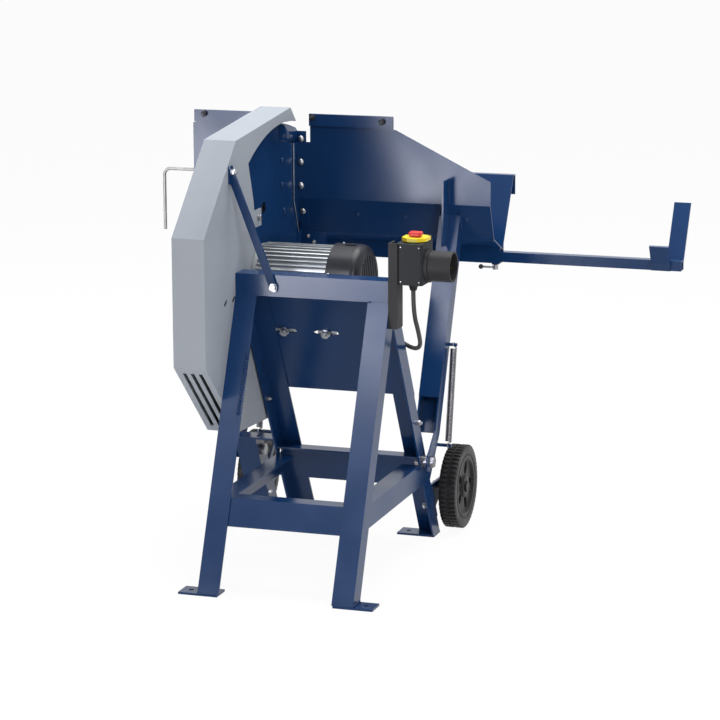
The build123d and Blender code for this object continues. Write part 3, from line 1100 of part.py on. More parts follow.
def springs():
    """Springs, the arm pegs that they pull on and the eye bars on the stand that hold them."""
    parts["return_spring_right"] = spring(SPRING_RIGHT_X)
    parts["return_spring_left"] = spring(SPRING_LEFT_X)
    reach = SPRING_R + PEG_T
    y, z = SPRING_TOP
    parts["rocker_arm_right"] += cyl_x(y, z, PEG_R, ARM_RIGHT_X, SPRING_RIGHT_X + reach)
    parts["rocker_arm_left"] += cyl_x(y, z, PEG_R, ARM_LEFT_X + ARM_WIDTH, SPRING_LEFT_X + reach)
    y, z = SPRING_FOOT
    bar = [(rear_y(EYE_LOW), EYE_LOW), (y, z - EYE_W / 2), (y + EYE_W / 2, z), (y, z + EYE_W / 2),
           (rear_y(EYE_LOW + EYE_W), EYE_LOW + EYE_W)]
    eyes = []
    for x0, x1 in ((REAR_HALF - LEG_T, SPRING_RIGHT_X), (OUTRIGGER_RIGHT, SPRING_LEFT_X)):
        side = 1 if x1 > x0 else -1
        eye = yz_plate(bar, x0, x0 + side * LEG_T)
        eyes.append(eye + cyl_x(y, z, PEG_R, x0, x1 + side * reach))
    parts["spring_eyes"] = Compound(children=eyes)


def build():
    """Make every part, put the origin at the bottom centre of the whole and write the files."""
    stand()
    motor()
    blade_group()
    guard()
    trough()
    blade_covers()
    arms()
    pivots()
    wheels()
    extension()
    length_stop()
    switch()
    motor_lead()
    springs()
    box = Compound(children=[Compound(list(p.solids())) for p in parts.values()]).bounding_box()
    shift = (-(box.min.X + box.max.X) / 2, -(box.min.Y + box.max.Y) / 2, -box.min.Z)
    print("shift", [round(v, 4) for v in shift], "size", [round(v, 2) for v in box.size])
    os.makedirs("parts", exist_ok=True)
    for name, part in parts.items():
        solids = [Pos(*shift) * s for s in part.solids()]
        export_step(solids[0] if len(solids) == 1 else Compound(children=solids), f"parts/{name}.step")
    print(len(parts), "parts")


build()
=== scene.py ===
"""Dress the firewood saw: finishes, camera, motor lead, springs, wheels, fasteners, plates, welds, studio."""
import json
import math

import bpy
from mathutils import Matrix, Vector


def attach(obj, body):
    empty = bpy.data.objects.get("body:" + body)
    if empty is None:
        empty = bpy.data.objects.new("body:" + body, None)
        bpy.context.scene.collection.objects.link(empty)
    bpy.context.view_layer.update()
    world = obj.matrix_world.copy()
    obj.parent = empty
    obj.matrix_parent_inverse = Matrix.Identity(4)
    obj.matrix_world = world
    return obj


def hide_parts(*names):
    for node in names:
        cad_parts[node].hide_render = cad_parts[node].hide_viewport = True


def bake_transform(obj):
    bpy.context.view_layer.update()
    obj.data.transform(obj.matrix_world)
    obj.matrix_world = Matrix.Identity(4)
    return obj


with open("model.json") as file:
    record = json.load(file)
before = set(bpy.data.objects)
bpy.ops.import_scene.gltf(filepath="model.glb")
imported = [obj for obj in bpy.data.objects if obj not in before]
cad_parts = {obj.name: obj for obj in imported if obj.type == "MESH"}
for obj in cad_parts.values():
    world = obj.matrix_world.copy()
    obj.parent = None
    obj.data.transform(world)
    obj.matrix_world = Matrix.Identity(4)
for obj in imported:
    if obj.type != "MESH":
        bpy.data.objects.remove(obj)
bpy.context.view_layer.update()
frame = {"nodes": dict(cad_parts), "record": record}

# The drawing has its zero in the middle of the stand; this moves it to the frame's zero
SHIFT = Vector((-75.5, -156.0, 0.0))


def at(x, y, z):
    """Point of the drawing, in millimetres, as a point of the frame in metres."""
    return (Vector((x, y, z)) + SHIFT) / 1000


def mm(value):
    """Millimetres as metres."""
    return value / 1000


# A face whose normal has more than this share along an axis counts as facing that way
FACING = 0.9
SMOOTH_ANGLE = math.radians(40)

# Finishes

GRAIN_DEPTH = 0.0004
# Middle part of a noise's values, which is spread over the whole change of tone or gloss
PATCH_RANGE = (0.35, 0.65)
CLOUD_RANGE = (0.3, 0.7)
SURFACE = (("Colour", "NodeSocketColor"), ("Roughness", "NodeSocketFloat"), ("Height", "NodeSocketFloat"))


def new_group(name, numbers, colours):
    """Empty shader group with number inputs, colour inputs and a surface's outputs."""
    group = bpy.data.node_groups.new(name, "ShaderNodeTree")
    for label, value in numbers:
        socket = group.interface.new_socket(label, in_out="INPUT", socket_type="NodeSocketFloat")
        socket.default_value = value
    for label in colours:
        group.interface.new_socket(label, in_out="INPUT", socket_type="NodeSocketColor")
    for label, kind in SURFACE:
        group.interface.new_socket(label, in_out="OUTPUT", socket_type=kind)
    return group, group.nodes.new("NodeGroupInput"), group.nodes.new("NodeGroupOutput")


def noise(group, place, scale, detail, label):
    """Noise texture in a group, its scale fed from a socket."""
    node = group.nodes.new("ShaderNodeTexNoise")
    node.label = label
    node.inputs["Detail"].default_value = detail
    group.links.new(place, node.inputs["Vector"])
    group.links.new(scale, node.inputs["Scale"])
    return node.outputs["Fac"]


def remap(group, value, low, high, to_low, to_high):
    """Value spread from one range to another; the ends are numbers or sockets."""
    node = group.nodes.new("ShaderNodeMapRange")
    group.links.new(value, node.inputs["Value"])
    for name, end in (("From Min", low), ("From Max", high), ("To Min", to_low), ("To Max", to_high)):
        if isinstance(end, (int, float)):
            node.inputs[name].default_value = end
        else:
            group.links.new(end, node.inputs[name])
    return node.outputs["Result"]


def blend_colours(group, factor, first, second):
    """Mix of two colour sockets."""
    node = group.nodes.new("ShaderNodeMix")
    node.data_type = "RGBA"
    group.links.new(factor, node.inputs["Factor"])
    group.links.new(first, node.inputs["A"])
    group.links.new(second, node.inputs["B"])
    return node.outputs["Result"]


def put_out(group, outputs, colour, rough, height):
    """Lead a surface's colour, roughness and height to the outputs of a group."""
    group.links.new(colour, outputs.inputs["Colour"])
    group.links.new(rough, outputs.inputs["Roughness"])
    group.links.new(height, outputs.inputs["Height"])


def skin_group():
    """Coated or moulded skin: slow patches of tone, uneven gloss and a fine raised grain."""
    group, inputs, outputs = new_group(
        "skin", (("Patch scale", 6.0), ("Grain scale", 500.0), ("Rough low", 0.25), ("Rough high", 0.4)),
        ("Tone", "Patch tone"))
    place = group.nodes.new("ShaderNodeTexCoord").outputs["Object"]
    patch = noise(group, place, inputs.outputs["Patch scale"], 3.0, "slow patches")
    grain = noise(group, place, inputs.outputs["Grain scale"], 2.0, "fine grain")
    spread = remap(group, patch, *PATCH_RANGE, 0.0, 1.0)
    colour = blend_colours(group, spread, inputs.outputs["Tone"], inputs.outputs["Patch tone"])
    rough = remap(group, patch, *PATCH_RANGE, inputs.outputs["Rough low"], inputs.outputs["Rough high"])
    put_out(group, outputs, colour, rough, grain)
    return group


def metal_group():
    """Bare metal: fine drawn lines along one axis, cloudy tone and small pits."""
    group, inputs, outputs = new_group(
        "bare_metal", (("Line scale", 60.0), ("Cloud scale", 25.0), ("Rough low", 0.2), ("Rough high", 0.42),
                       ("Stretch x", 1.0), ("Stretch y", 1.0), ("Stretch z", 1.0)),
        ("Tone", "Dull tone"))
    place = group.nodes.new("ShaderNodeTexCoord").outputs["Object"]
    pull = group.nodes.new("ShaderNodeCombineXYZ")
    for axis in "xyz":
        group.links.new(inputs.outputs["Stretch " + axis], pull.inputs[axis.upper()])
    drawn = group.nodes.new("ShaderNodeVectorMath")
    drawn.operation = "MULTIPLY"
    group.links.new(place, drawn.inputs[0])
    group.links.new(pull.outputs["Vector"], drawn.inputs[1])
    lines = noise(group, drawn.outputs["Vector"], inputs.outputs["Line scale"], 4.0, "drawn lines")
    cloud = noise(group, place, inputs.outputs["Cloud scale"], 3.0, "cloudy tone")
    spread = remap(group, cloud, *CLOUD_RANGE, 0.0, 1.0)
    colour = blend_colours(group, spread, inputs.outputs["Tone"], inputs.outputs["Dull tone"])
    rough = remap(group, lines, *CLOUD_RANGE, inputs.outputs["Rough low"], inputs.outputs["Rough high"])
    put_out(group, outputs, colour, rough, lines)
    return group


SKIN = skin_group()
METAL = metal_group()
FINISHES = {}


def finish(name, group, tone, second, values, bump, metallic=0.0, shine=0.5):
    """Add a material that takes colour, roughness and grain from a group and keeps its shader to itself."""
    material = bpy.data.materials.new(name)
    material.use_nodes = True
    nodes, links = material.node_tree.nodes, material.node_tree.links
    shader = nodes["Principled BSDF"]
    skin = nodes.new("ShaderNodeGroup")
    skin.node_tree = group
    first, other = [s.name for s in skin.inputs if s.type == "RGBA"]
    skin.inputs[first].default_value = (*tone, 1.0)
    skin.inputs[other].default_value = (*second, 1.0)
    for label, value in values.items():
        skin.inputs[label].default_value = value
    raised = nodes.new("ShaderNodeBump")
    raised.inputs["Strength"].default_value = bump
    raised.inputs["Distance"].default_value = GRAIN_DEPTH
    links.new(skin.outputs["Height"], raised.inputs["Height"])
    links.new(skin.outputs["Colour"], shader.inputs["Base Color"])
    links.new(skin.outputs["Roughness"], shader.inputs["Roughness"])
    links.new(raised.outputs["Normal"], shader.inputs["Normal"])
    shader.inputs["Metallic"].default_value = metallic
    shader.inputs["Specular IOR Level"].default_value = shine
    FINISHES[name] = material


finish("blue_paint", SKIN, (0.005, 0.029, 0.098), (0.006, 0.033, 0.112),
       {"Patch scale": 5.0, "Grain scale": 420.0, "Rough low": 0.17, "Rough high": 0.26},
       0.10, shine=0.20)
finish("guard_paint", SKIN, (0.275, 0.300, 0.340), (0.305, 0.330, 0.368),
       {"Patch scale": 4.0, "Grain scale": 500.0, "Rough low": 0.38, "Rough high": 0.50},
       0.10, shine=0.12)
finish("cowl_paint", SKIN, (0.012, 0.013, 0.018), (0.017, 0.018, 0.024),
       {"Patch scale": 8.0, "Grain scale": 380.0, "Rough low": 0.26, "Rough high": 0.38},
       0.18, shine=0.20)
finish("motor_cast", METAL, (0.44, 0.46, 0.48), (0.35, 0.37, 0.39),
       {"Line scale": 240.0, "Cloud scale": 18.0, "Rough low": 0.30, "Rough high": 0.52,
        "Stretch x": 0.2}, 0.12, metallic=0.85)
finish("core_steel", METAL, (0.34, 0.34, 0.35), (0.26, 0.26, 0.27),
       {"Line scale": 900.0, "Stretch y": 0.1, "Stretch z": 0.1}, 0.3, metallic=0.9)
finish("machined_steel", METAL, (0.58, 0.58, 0.59), (0.48, 0.48, 0.50),
       {"Line scale": 700.0, "Rough low": 0.18, "Rough high": 0.36, "Stretch y": 0.2,
        "Stretch z": 0.2}, 0.12, metallic=1.0)
finish("zinc_steel", METAL, (0.42, 0.43, 0.45), (0.32, 0.33, 0.35),
       {"Line scale": 300.0, "Cloud scale": 90.0, "Rough low": 0.22, "Rough high": 0.38},
       0.10, metallic=1.0)
finish("rod_steel", METAL, (0.36, 0.35, 0.33), (0.30, 0.29, 0.28),
       {"Line scale": 200.0, "Rough low": 0.45, "Rough high": 0.55}, 0.02, metallic=0.6)
finish("spring_steel", METAL, (0.26, 0.26, 0.28), (0.18, 0.18, 0.20),
       {"Line scale": 500.0, "Cloud scale": 60.0, "Rough low": 0.25, "Rough high": 0.45},
       0.15, metallic=1.0)
finish("blade_steel", METAL, (0.60, 0.61, 0.63), (0.50, 0.51, 0.53),
       {"Line scale": 260.0, "Cloud scale": 12.0, "Rough low": 0.22, "Rough high": 0.40},
       0.12, metallic=1.0)
finish("black_plastic", SKIN, (0.020, 0.020, 0.022), (0.028, 0.028, 0.030),
       {"Patch scale": 14.0, "Grain scale": 900.0, "Rough low": 0.42, "Rough high": 0.58},
       0.35, shine=0.12)
finish("knob_plastic", SKIN, (0.014, 0.014, 0.015), (0.018, 0.018, 0.020),
       {"Patch scale": 20.0, "Grain scale": 300.0, "Rough low": 0.14, "Rough high": 0.22},
       0.05)
finish("switch_plastic", SKIN, (0.020, 0.022, 0.025), (0.026, 0.028, 0.031),
       {"Patch scale": 16.0, "Grain scale": 1100.0, "Rough low": 0.44, "Rough high": 0.56},
       0.4, shine=0.08)
finish("yellow_plastic", SKIN, (0.86, 0.66, 0.03), (0.80, 0.60, 0.03),
       {"Patch scale": 20.0, "Grain scale": 800.0, "Rough low": 0.28, "Rough high": 0.38},
       0.12, shine=0.12)
finish("red_plastic", SKIN, (0.66, 0.050, 0.040), (0.58, 0.040, 0.032),
       {"Patch scale": 24.0, "Grain scale": 800.0, "Rough low": 0.26, "Rough high": 0.36},
       0.10, shine=0.12)
finish("green_plastic", SKIN, (0.03, 0.30, 0.08), (0.025, 0.25, 0.07),
       {"Patch scale": 24.0, "Grain scale": 800.0, "Rough low": 0.28, "Rough high": 0.38},
       0.10, shine=0.12)
finish("brass_pin", METAL, (0.72, 0.53, 0.22), (0.60, 0.43, 0.17),
       {"Line scale": 400.0, "Rough low": 0.18, "Rough high": 0.30}, 0.08, metallic=1.0)
finish("lead_rubber", SKIN, (0.022, 0.022, 0.023), (0.030, 0.030, 0.031),
       {"Patch scale": 30.0, "Grain scale": 1200.0, "Rough low": 0.48, "Rough high": 0.62},
       0.3)
finish("wheel_plastic", SKIN, (0.012, 0.012, 0.013), (0.018, 0.018, 0.019),
       {"Patch scale": 18.0, "Grain scale": 800.0, "Rough low": 0.34, "Rough high": 0.50},
       0.3, shine=0.14)

# These look darker than the wide pieces that share their finish
DARKER = {"switch_bracket": "black_plastic", "stop_rod": "rod_steel", "pivot_bolts": "spring_steel",
          "wheel_axles": "wheel_plastic"}

for entry in frame["record"]["subparts"]:
    node = frame["nodes"][entry["node"]]
    material = FINISHES[DARKER.get(entry["node"], entry["material_slot"])]
    if node.material_slots:
        for place in node.material_slots:
            place.material = material
    else:
        node.data.materials.append(material)


# Making and placing pieces

def deselect():
    """Nothing selected, so that an operator acts only on what comes next."""
    if bpy.context.mode != "OBJECT":
        bpy.ops.object.mode_set(mode="OBJECT")
    bpy.ops.object.select_all(action="DESELECT")


def choose(*objects):
    """Select these objects, the first one active."""
    deselect()
    for obj in objects:
        obj.select_set(True)
    bpy.context.view_layer.objects.active = objects[0]


def pick_faces(obj, test):
    """In edit mode, select the faces that pass a test on centre and normal."""
    bpy.ops.object.mode_set(mode="OBJECT")
    for edge in obj.data.edges:
        edge.select = False
    for vertex in obj.data.vertices:
        vertex.select = False
    for face in obj.data.polygons:
        face.select = bool(test(face.center, face.normal))
    bpy.ops.object.mode_set(mode="EDIT")
    bpy.ops.mesh.select_mode(type="FACE")


def soften(obj, width, segments=2, angle=35.0):
    """Round the sharp edges with an applied bevel and smooth the shading."""
    choose(obj)
    bevel = obj.modifiers.new("edges", "BEVEL")
    bevel.width = width
    bevel.segments = segments
    bevel.limit_method = "ANGLE"
    bevel.angle_limit = math.radians(angle)
    bpy.ops.object.modifier_apply(modifier=bevel.name)
    bpy.ops.object.shade_smooth_by_angle(angle=SMOOTH_ANGLE)


def settle(obj, name, body, slot):
    """Name a finished piece, give it its finish and let it ride on a body."""
    choose(obj)
    bpy.ops.object.transform_apply(location=True, rotation=True, scale=True)
    obj.name = name
    obj.data.name = name
    obj.data.materials.clear()
    obj.data.materials.append(FINISHES[slot])
    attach(obj, body)
    return obj


def joined(objects):
    """One object from several."""
    choose(*objects)
    bpy.ops.object.join()
    return bpy.context.view_layer.objects.active


def twin(pattern):
    """Copy of a pattern piece with its own mesh."""
    copy = pattern.copy()
    copy.data = pattern.data.copy()
    bpy.context.collection.objects.link(copy)
    return copy


def copies(pattern, places):
    """One object of copies of a pattern piece, at places that give point, direction and size."""
    made = []
    for point, direction, size in places:
        copy = twin(pattern)
        turn = Vector(direction).to_track_quat("Z", "Y").to_matrix().to_4x4()
        copy.data.transform(Matrix.Translation(point) @ turn @ Matrix.Scale(size, 4))
        made.append(copy)
    return joined(made) if len(made) > 1 else made[0]


def drop(*patterns):
    """Take away pattern pieces that have been copied."""
    for pattern in patterns:
        bpy.data.objects.remove(pattern, do_unlink=True)


def round_bar(radius, depth, sides=24):
    """Plain cylinder standing on z = 0, to be shaped further."""
    deselect()
    bpy.ops.mesh.primitive_cylinder_add(vertices=sides, radius=radius, depth=depth,
                                        location=(0, 0, depth / 2))
    bar = bpy.context.object
    bpy.ops.object.transform_apply(location=True, rotation=True, scale=True)
    return bar


# Sizes of the small fasteners and of a weld's ripple, in millimetres
COACH_R = 8.5
COACH_CUT = 1.2
COACH_FLAT = 0.68
COACH_SINK = 0.2
WASHER_T = 1.6
NUT_WASHER_R = 8.0
HEAD_WASHER_R = 8.4
HEX_R = 7.5
HEX_EDGE = 0.35
NUT_T = 6.5
HEAD_T = 5.5
BOLT_R = 3.9
BOLT_END = 13.0
THREADS = 4
THREAD_START = 9.0
THREAD_PITCH = 1.1
THREAD_R = 3.8
RIDGE_R = 0.45
SCREW_R = 3.0
SCREW_T = 1.8
RECESS = 1.0
RIPPLE_R = 3.2
RIPPLE_FLAT = 0.62


def turn_end(bar, inward, up, both=False):
    """Inset the upper end of a bar, or both ends, and lift it."""
    bpy.ops.object.mode_set(mode="EDIT")
    pick_faces(bar, lambda c, n: n.z > FACING or (both and n.z < -FACING))
    bpy.ops.mesh.inset(thickness=mm(inward), depth=mm(up))
    bpy.ops.object.mode_set(mode="OBJECT")


def coach_head():
    """Domed head of a coach bolt."""
    deselect()
    bpy.ops.mesh.primitive_uv_sphere_add(segments=20, ring_count=12, radius=mm(COACH_R))
    head = bpy.context.object
    bpy.ops.object.mode_set(mode="EDIT")
    bpy.ops.mesh.select_all(action="SELECT")
    bpy.ops.mesh.bisect(plane_co=(0, 0, mm(COACH_CUT)), plane_no=(0, 0, 1), use_fill=True, clear_inner=True)
    bpy.ops.mesh.select_all(action="SELECT")
    bpy.ops.transform.resize(value=(1, 1, COACH_FLAT))
    bpy.ops.object.mode_set(mode="OBJECT")
    head.data.transform(Matrix.Translation((0, 0, -mm(COACH_CUT * COACH_FLAT + COACH_SINK))))
    choose(head)
    bpy.ops.object.shade_smooth_by_angle(angle=SMOOTH_ANGLE)
    return head


def washer(radius):
    """Flat washer with a turned edge."""
    ring = round_bar(mm(radius), mm(WASHER_T), 28)
    turn_end(ring, 0.5, 0.25)
    return ring


def nut_and_end():
    """Washer, hexagon nut with turned corners and the threaded end of an M8 bolt that stands out of it."""
    ring = washer(NUT_WASHER_R)
    nut = round_bar(mm(HEX_R), mm(NUT_T), 6)
    turn_end(nut, 1.0, 0.6, both=True)
    nut.data.transform(Matrix.Translation((0, 0, mm(WASHER_T))))
    soften(nut, mm(HEX_EDGE), 2, 25)
    stub = round_bar(mm(BOLT_R), mm(BOLT_END), 20)
    turn_end(stub, 0.8, 0.7)
    for turn in range(THREADS):
        deselect()
        bpy.ops.mesh.primitive_torus_add(major_segments=20, minor_segments=4, major_radius=mm(THREAD_R),
                                         minor_radius=mm(RIDGE_R),
                                         location=(0, 0, mm(THREAD_START + THREAD_PITCH * turn)))
        ridge = bpy.context.object
        bpy.ops.object.transform_apply(location=True, rotation=True, scale=True)
        stub = joined([stub, ridge])
    return joined([nut, ring, stub])


def hex_head():
    """Hexagon head of an M8 bolt on its washer."""
    ring = washer(HEAD_WASHER_R)
    head = round_bar(mm(HEX_R), mm(HEAD_T), 6)
    turn_end(head, 1.1, 0.7)
    head.data.transform(Matrix.Translation((0, 0, mm(WASHER_T))))
    soften(head, mm(HEX_EDGE), 2, 25)
    return joined([head, ring])


def cross_screw():
    """Pan head screw with a recess for the driver."""
    head = round_bar(mm(SCREW_R), mm(SCREW_T), 24)
    bpy.ops.object.mode_set(mode="EDIT")
    pick_faces(head, lambda c, n: n.z > FACING)
    bpy.ops.mesh.inset(thickness=mm(0.9), depth=mm(0.5))
    bpy.ops.mesh.inset(thickness=mm(0.7), depth=mm(0.0))
    bpy.ops.mesh.extrude_region_move(TRANSFORM_OT_translate={"value": (0, 0, -mm(RECESS))})
    bpy.ops.object.mode_set(mode="OBJECT")
    choose(head)
    bpy.ops.object.shade_smooth_by_angle(angle=SMOOTH_ANGLE)
    return head


def weld_ripple():
    """One ripple of a weld bead."""
    deselect()
    bpy.ops.mesh.primitive_uv_sphere_add(segments=10, ring_count=6, radius=mm(RIPPLE_R))
    ripple = bpy.context.object
    bpy.ops.object.mode_set(mode="EDIT")
    bpy.ops.mesh.select_all(action="SELECT")
    bpy.ops.transform.resize(value=(1.0, 1.0, RIPPLE_FLAT))
    bpy.ops.object.mode_set(mode="OBJECT")
    choose(ripple)
    bpy.ops.object.shade_smooth()
    return ripple


def bead(start, end, step=3.0, width=1.0):
    """Places of the ripples of a straight weld bead between two points of the drawing."""
    a, b = Vector(start), Vector(end)
    count = max(2, round((b - a).length / step))
    along = (b - a).normalized()
    places = []
    for i in range(count + 1):
        p = a + (b - a) * (i / count)
        size = width * (1.0 + 0.16 * math.sin(2.3 * i) + 0.08 * math.sin(5.1 * i))
        places.append((at(*p), along, size))
    return places


# Camera at the photograph's place

CAMERA_PLACE = (2.0341, -6.2298, 1.8431)
AZIMUTH = math.radians(18.4)
ELEVATION = math.radians(12.0)
ROLL = math.radians(-0.2)
LENS = 145.0


def camera():
    """Camera with the photograph's place, direction and field of view."""
    right = Vector((math.cos(AZIMUTH), math.sin(AZIMUTH), 0))
    level = math.cos(ELEVATION)
    ahead = Vector((-math.sin(AZIMUTH) * level, math.cos(AZIMUTH) * level, -math.sin(ELEVATION)))
    up = right.cross(ahead)
    right, up = right * math.cos(ROLL) + up * math.sin(ROLL), up * math.cos(ROLL) - right * math.sin(ROLL)
    lens = bpy.data.cameras.new("camera")
    lens.lens = LENS
    lens.sensor_width = 36.0
    lens.clip_end = 100.0
    eye = bpy.data.objects.new("camera", lens)
    turn = Matrix((right, up, -ahead)).transposed().to_4x4()
    eye.matrix_world = Matrix.Translation(CAMERA_PLACE) @ turn
    bpy.context.collection.objects.link(eye)
    bpy.context.scene.camera = eye


camera()

# Motor lead and its glands

LEAD_R = 5.0
TERMINAL = (149.57, 550.71)
GLAND_R = 11.0
GLAND_T = 9.0
# Steps of the strain relief: how far up, then how much wider or narrower
RELIEF_STEPS = ((2.4, 0.95), (0.6, 0.90), (2.0, 1.06), (0.6, 0.90), (1.8, 1.04), (0.6, 0.86))
LEAD = [(227.0, -38.0, 657.0), (227.0, -38.0, 607.0), (233.0, -16.0, 556.0), (223.0, 32.0, 516.0),
        (193.0, 80.0, 498.0), (152.0, 116.0, 504.0), (110.0, 137.0, 523.0), (61.0, 147.0, 542.0),
        (14.0, *TERMINAL), (-38.0, *TERMINAL)]


def motor_lead():
    """Rubber lead from the switch to the motor's terminal box, on one smooth spline."""
    line = bpy.data.curves.new("motor_cable", "CURVE")
    line.dimensions = "3D"
    line.bevel_depth = mm(LEAD_R)
    line.bevel_resolution = 5
    line.resolution_u = 10
    spline = line.splines.new("NURBS")
    spline.points.add(len(LEAD) - 1)
    for point, place in zip(spline.points, LEAD):
        point.co = (*at(*place), 1.0)
    spline.order_u = 3
    spline.use_endpoint_u = True
    line.materials.append(FINISHES["lead_rubber"])
    cable = bpy.data.objects.new("motor_cable", line)
    bpy.context.collection.objects.link(cable)
    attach(cable, "stand")
    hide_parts("motor_lead")


motor_lead()


def lead_gland():
    """Gland nut with a ribbed strain relief that tapers to the lead."""
    body = round_bar(mm(GLAND_R), mm(GLAND_T), 8)
    bpy.ops.object.mode_set(mode="EDIT")
    pick_faces(body, lambda c, n: n.z > FACING)
    bpy.ops.mesh.inset(thickness=mm(1.0), depth=mm(0.8))
    for lift, shrink in RELIEF_STEPS:
        bpy.ops.mesh.extrude_region_move(TRANSFORM_OT_translate={"value": (0, 0, mm(lift))})
        bpy.ops.transform.resize(value=(shrink, shrink, 1.0))
    bpy.ops.object.mode_set(mode="OBJECT")
    soften(body, mm(0.5))
    return body


gland = lead_gland()
glands = copies(gland, [(at(227.0, -38.0, 675.0), (0, 0, -1), 1.0), (at(-56.0, *TERMINAL), (1, 0, 0), 1.0)])
drop(gland)
settle(glands, "lead_glands", "stand", "black_plastic")
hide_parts("cable_glands")


# Return springs, which stretch between stand and rocker

SPRING_FOOT = (305.0, 222.0)
SPRING_TOP = (350.0, 456.0)
SPRING_R = 6.8
WIRE_R = 1.5
SPRING_TURNS = 68
COIL = 219.5


def spring_hook(side):
    """Open end loop of a spring, turned up from the last coil."""
    r = SPRING_R
    path = [(r, 0, 0), (r * 0.93, r * 0.55, 1.2), (r * 0.45, r * 0.98, 3.6), (0, r * 1.02, r * 0.8),
            (0, r * 0.9, r * 1.45), (0, r * 0.45, r * 1.98), (0, -r * 0.3, r * 2.12), (0, -r * 0.95, r * 1.6),
            (0, -r * 1.0, r * 0.9)]
    line = bpy.data.curves.new("hook", "CURVE")
    line.dimensions = "3D"
    line.bevel_depth = mm(WIRE_R)
    line.bevel_resolution = 2
    line.resolution_u = 4
    line.use_fill_caps = True
    spline = line.splines.new("NURBS")
    spline.points.add(len(path) - 1)
    for point, (x, y, z) in zip(spline.points, path):
        point.co = (mm(x), mm(y * side), mm(z * side), 1.0)
    spline.order_u = 3
    spline.use_endpoint_u = True
    hook = bpy.data.objects.new("hook", line)
    bpy.context.collection.objects.link(hook)
    choose(hook)
    bpy.ops.object.convert(target="MESH")
    return bpy.context.view_layer.objects.active


def spring(name, node, x):
    """Close wound extension spring: a wire ring screwed up along the axis, with a loop at each end."""
    deselect()
    bpy.ops.mesh.primitive_circle_add(vertices=8, radius=mm(WIRE_R), location=(mm(SPRING_R), 0, 0),
                                      rotation=(math.radians(90), 0, 0))
    coil = bpy.context.object
    bpy.ops.object.transform_apply(location=True, rotation=True, scale=True)
    screw = coil.modifiers.new("turns", "SCREW")
    screw.axis = "Z"
    screw.angle = 2 * math.pi
    screw.screw_offset = mm(COIL / SPRING_TURNS)
    screw.iterations = SPRING_TURNS
    screw.steps = screw.render_steps = 16
    bpy.ops.object.modifier_apply(modifier=screw.name)
    bpy.ops.object.mode_set(mode="EDIT")
    bpy.ops.mesh.select_all(action="SELECT")
    bpy.ops.mesh.remove_doubles(threshold=mm(0.02))
    bpy.ops.mesh.normals_make_consistent(inside=False)
    bpy.ops.object.mode_set(mode="OBJECT")
    low, high = spring_hook(-1), spring_hook(1)
    high.data.transform(Matrix.Translation((0, 0, mm(COIL))))
    whole = joined([coil, low, high])
    bpy.ops.object.shade_smooth()
    rise = Vector((SPRING_TOP[0] - SPRING_FOOT[0], SPRING_TOP[1] - SPRING_FOOT[1]))
    start = (rise.length - COIL) / 2
    lean = math.atan2(rise.x, rise.y)
    whole.data.transform(Matrix.Translation(at(x, *SPRING_FOOT)) @ Matrix.Rotation(-lean, 4, "X")
                         @ Matrix.Translation((0, 0, mm(start))))
    whole.name = name
    whole.data.name = name
    whole.data.materials.clear()
    whole.data.materials.append(FINISHES["spring_steel"])
    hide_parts(node)
    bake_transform(whole)


spring("spring_right", "return_spring_right", 206.0)
spring("spring_left", "return_spring_left", -269.0)


# Moulded wheels

WHEEL_R = 100.0
WHEEL_WIDTH = 40.0
WHEEL_MIDDLE = (383.0, 105.0)
RIBS = 52
RIB_HEIGHT = 3.0
RIB_SINK = 0.6
RIB_LENGTH = 7.8
RIB_WIDTH = 17.2
RIB_TAPER = (1.0, 0.78, 0.96)
ROW_OFFSET = 11.0
BORE_R = 8.3
WINDOWS = 5
WINDOW_RING = 44.0
WINDOW_R = 10.0
WINDOW_STRETCH = 1.6
# Steps from the shoulder to the hub on each side: how far in, then how far up
SIDE_STEPS = ((19.0, 0.0), (1.2, -2.4), (1.6, 0.0), (1.2, 2.4),
              (8.0, 0.0), (4.0, -6.0), (34.0, 0.0), (3.0, 6.0))


def tread_rib():
    """One rib of the tread at its place on the rim, a little narrower at the top."""
    deselect()
    bpy.ops.mesh.primitive_cube_add(size=1.0)
    rib = bpy.context.object
    tall = RIB_HEIGHT + RIB_SINK
    rib.data.transform(Matrix.Diagonal((mm(tall), mm(RIB_LENGTH), mm(RIB_WIDTH), 1.0)))
    bpy.ops.object.mode_set(mode="EDIT")
    pick_faces(rib, lambda c, n: n.x > FACING)
    bpy.ops.transform.resize(value=RIB_TAPER)
    bpy.ops.object.mode_set(mode="OBJECT")
    rib.data.transform(Matrix.Translation((mm(WHEEL_R - tall / 2), 0, 0)))
    soften(rib, mm(0.5), 1)
    return rib


def wheel_cutter():
    """Bore and windows of a wheel, as bars to be taken away."""
    bars = [round_bar(mm(BORE_R), mm(2 * WHEEL_WIDTH), 32)]
    for i in range(WINDOWS):
        bar = round_bar(mm(WINDOW_R), mm(2 * WHEEL_WIDTH), 24)
        turn = Matrix.Rotation(2 * math.pi * i / WINDOWS, 4, "Z")
        out = Matrix.Translation((mm(WINDOW_RING), 0, 0))
        bar.data.transform(turn @ out @ Matrix.Diagonal((WINDOW_STRETCH, 1, 1, 1)))
        bars.append(bar)
    cutter = joined(bars)
    cutter.data.transform(Matrix.Translation((0, 0, -mm(WHEEL_WIDTH))))
    return cutter


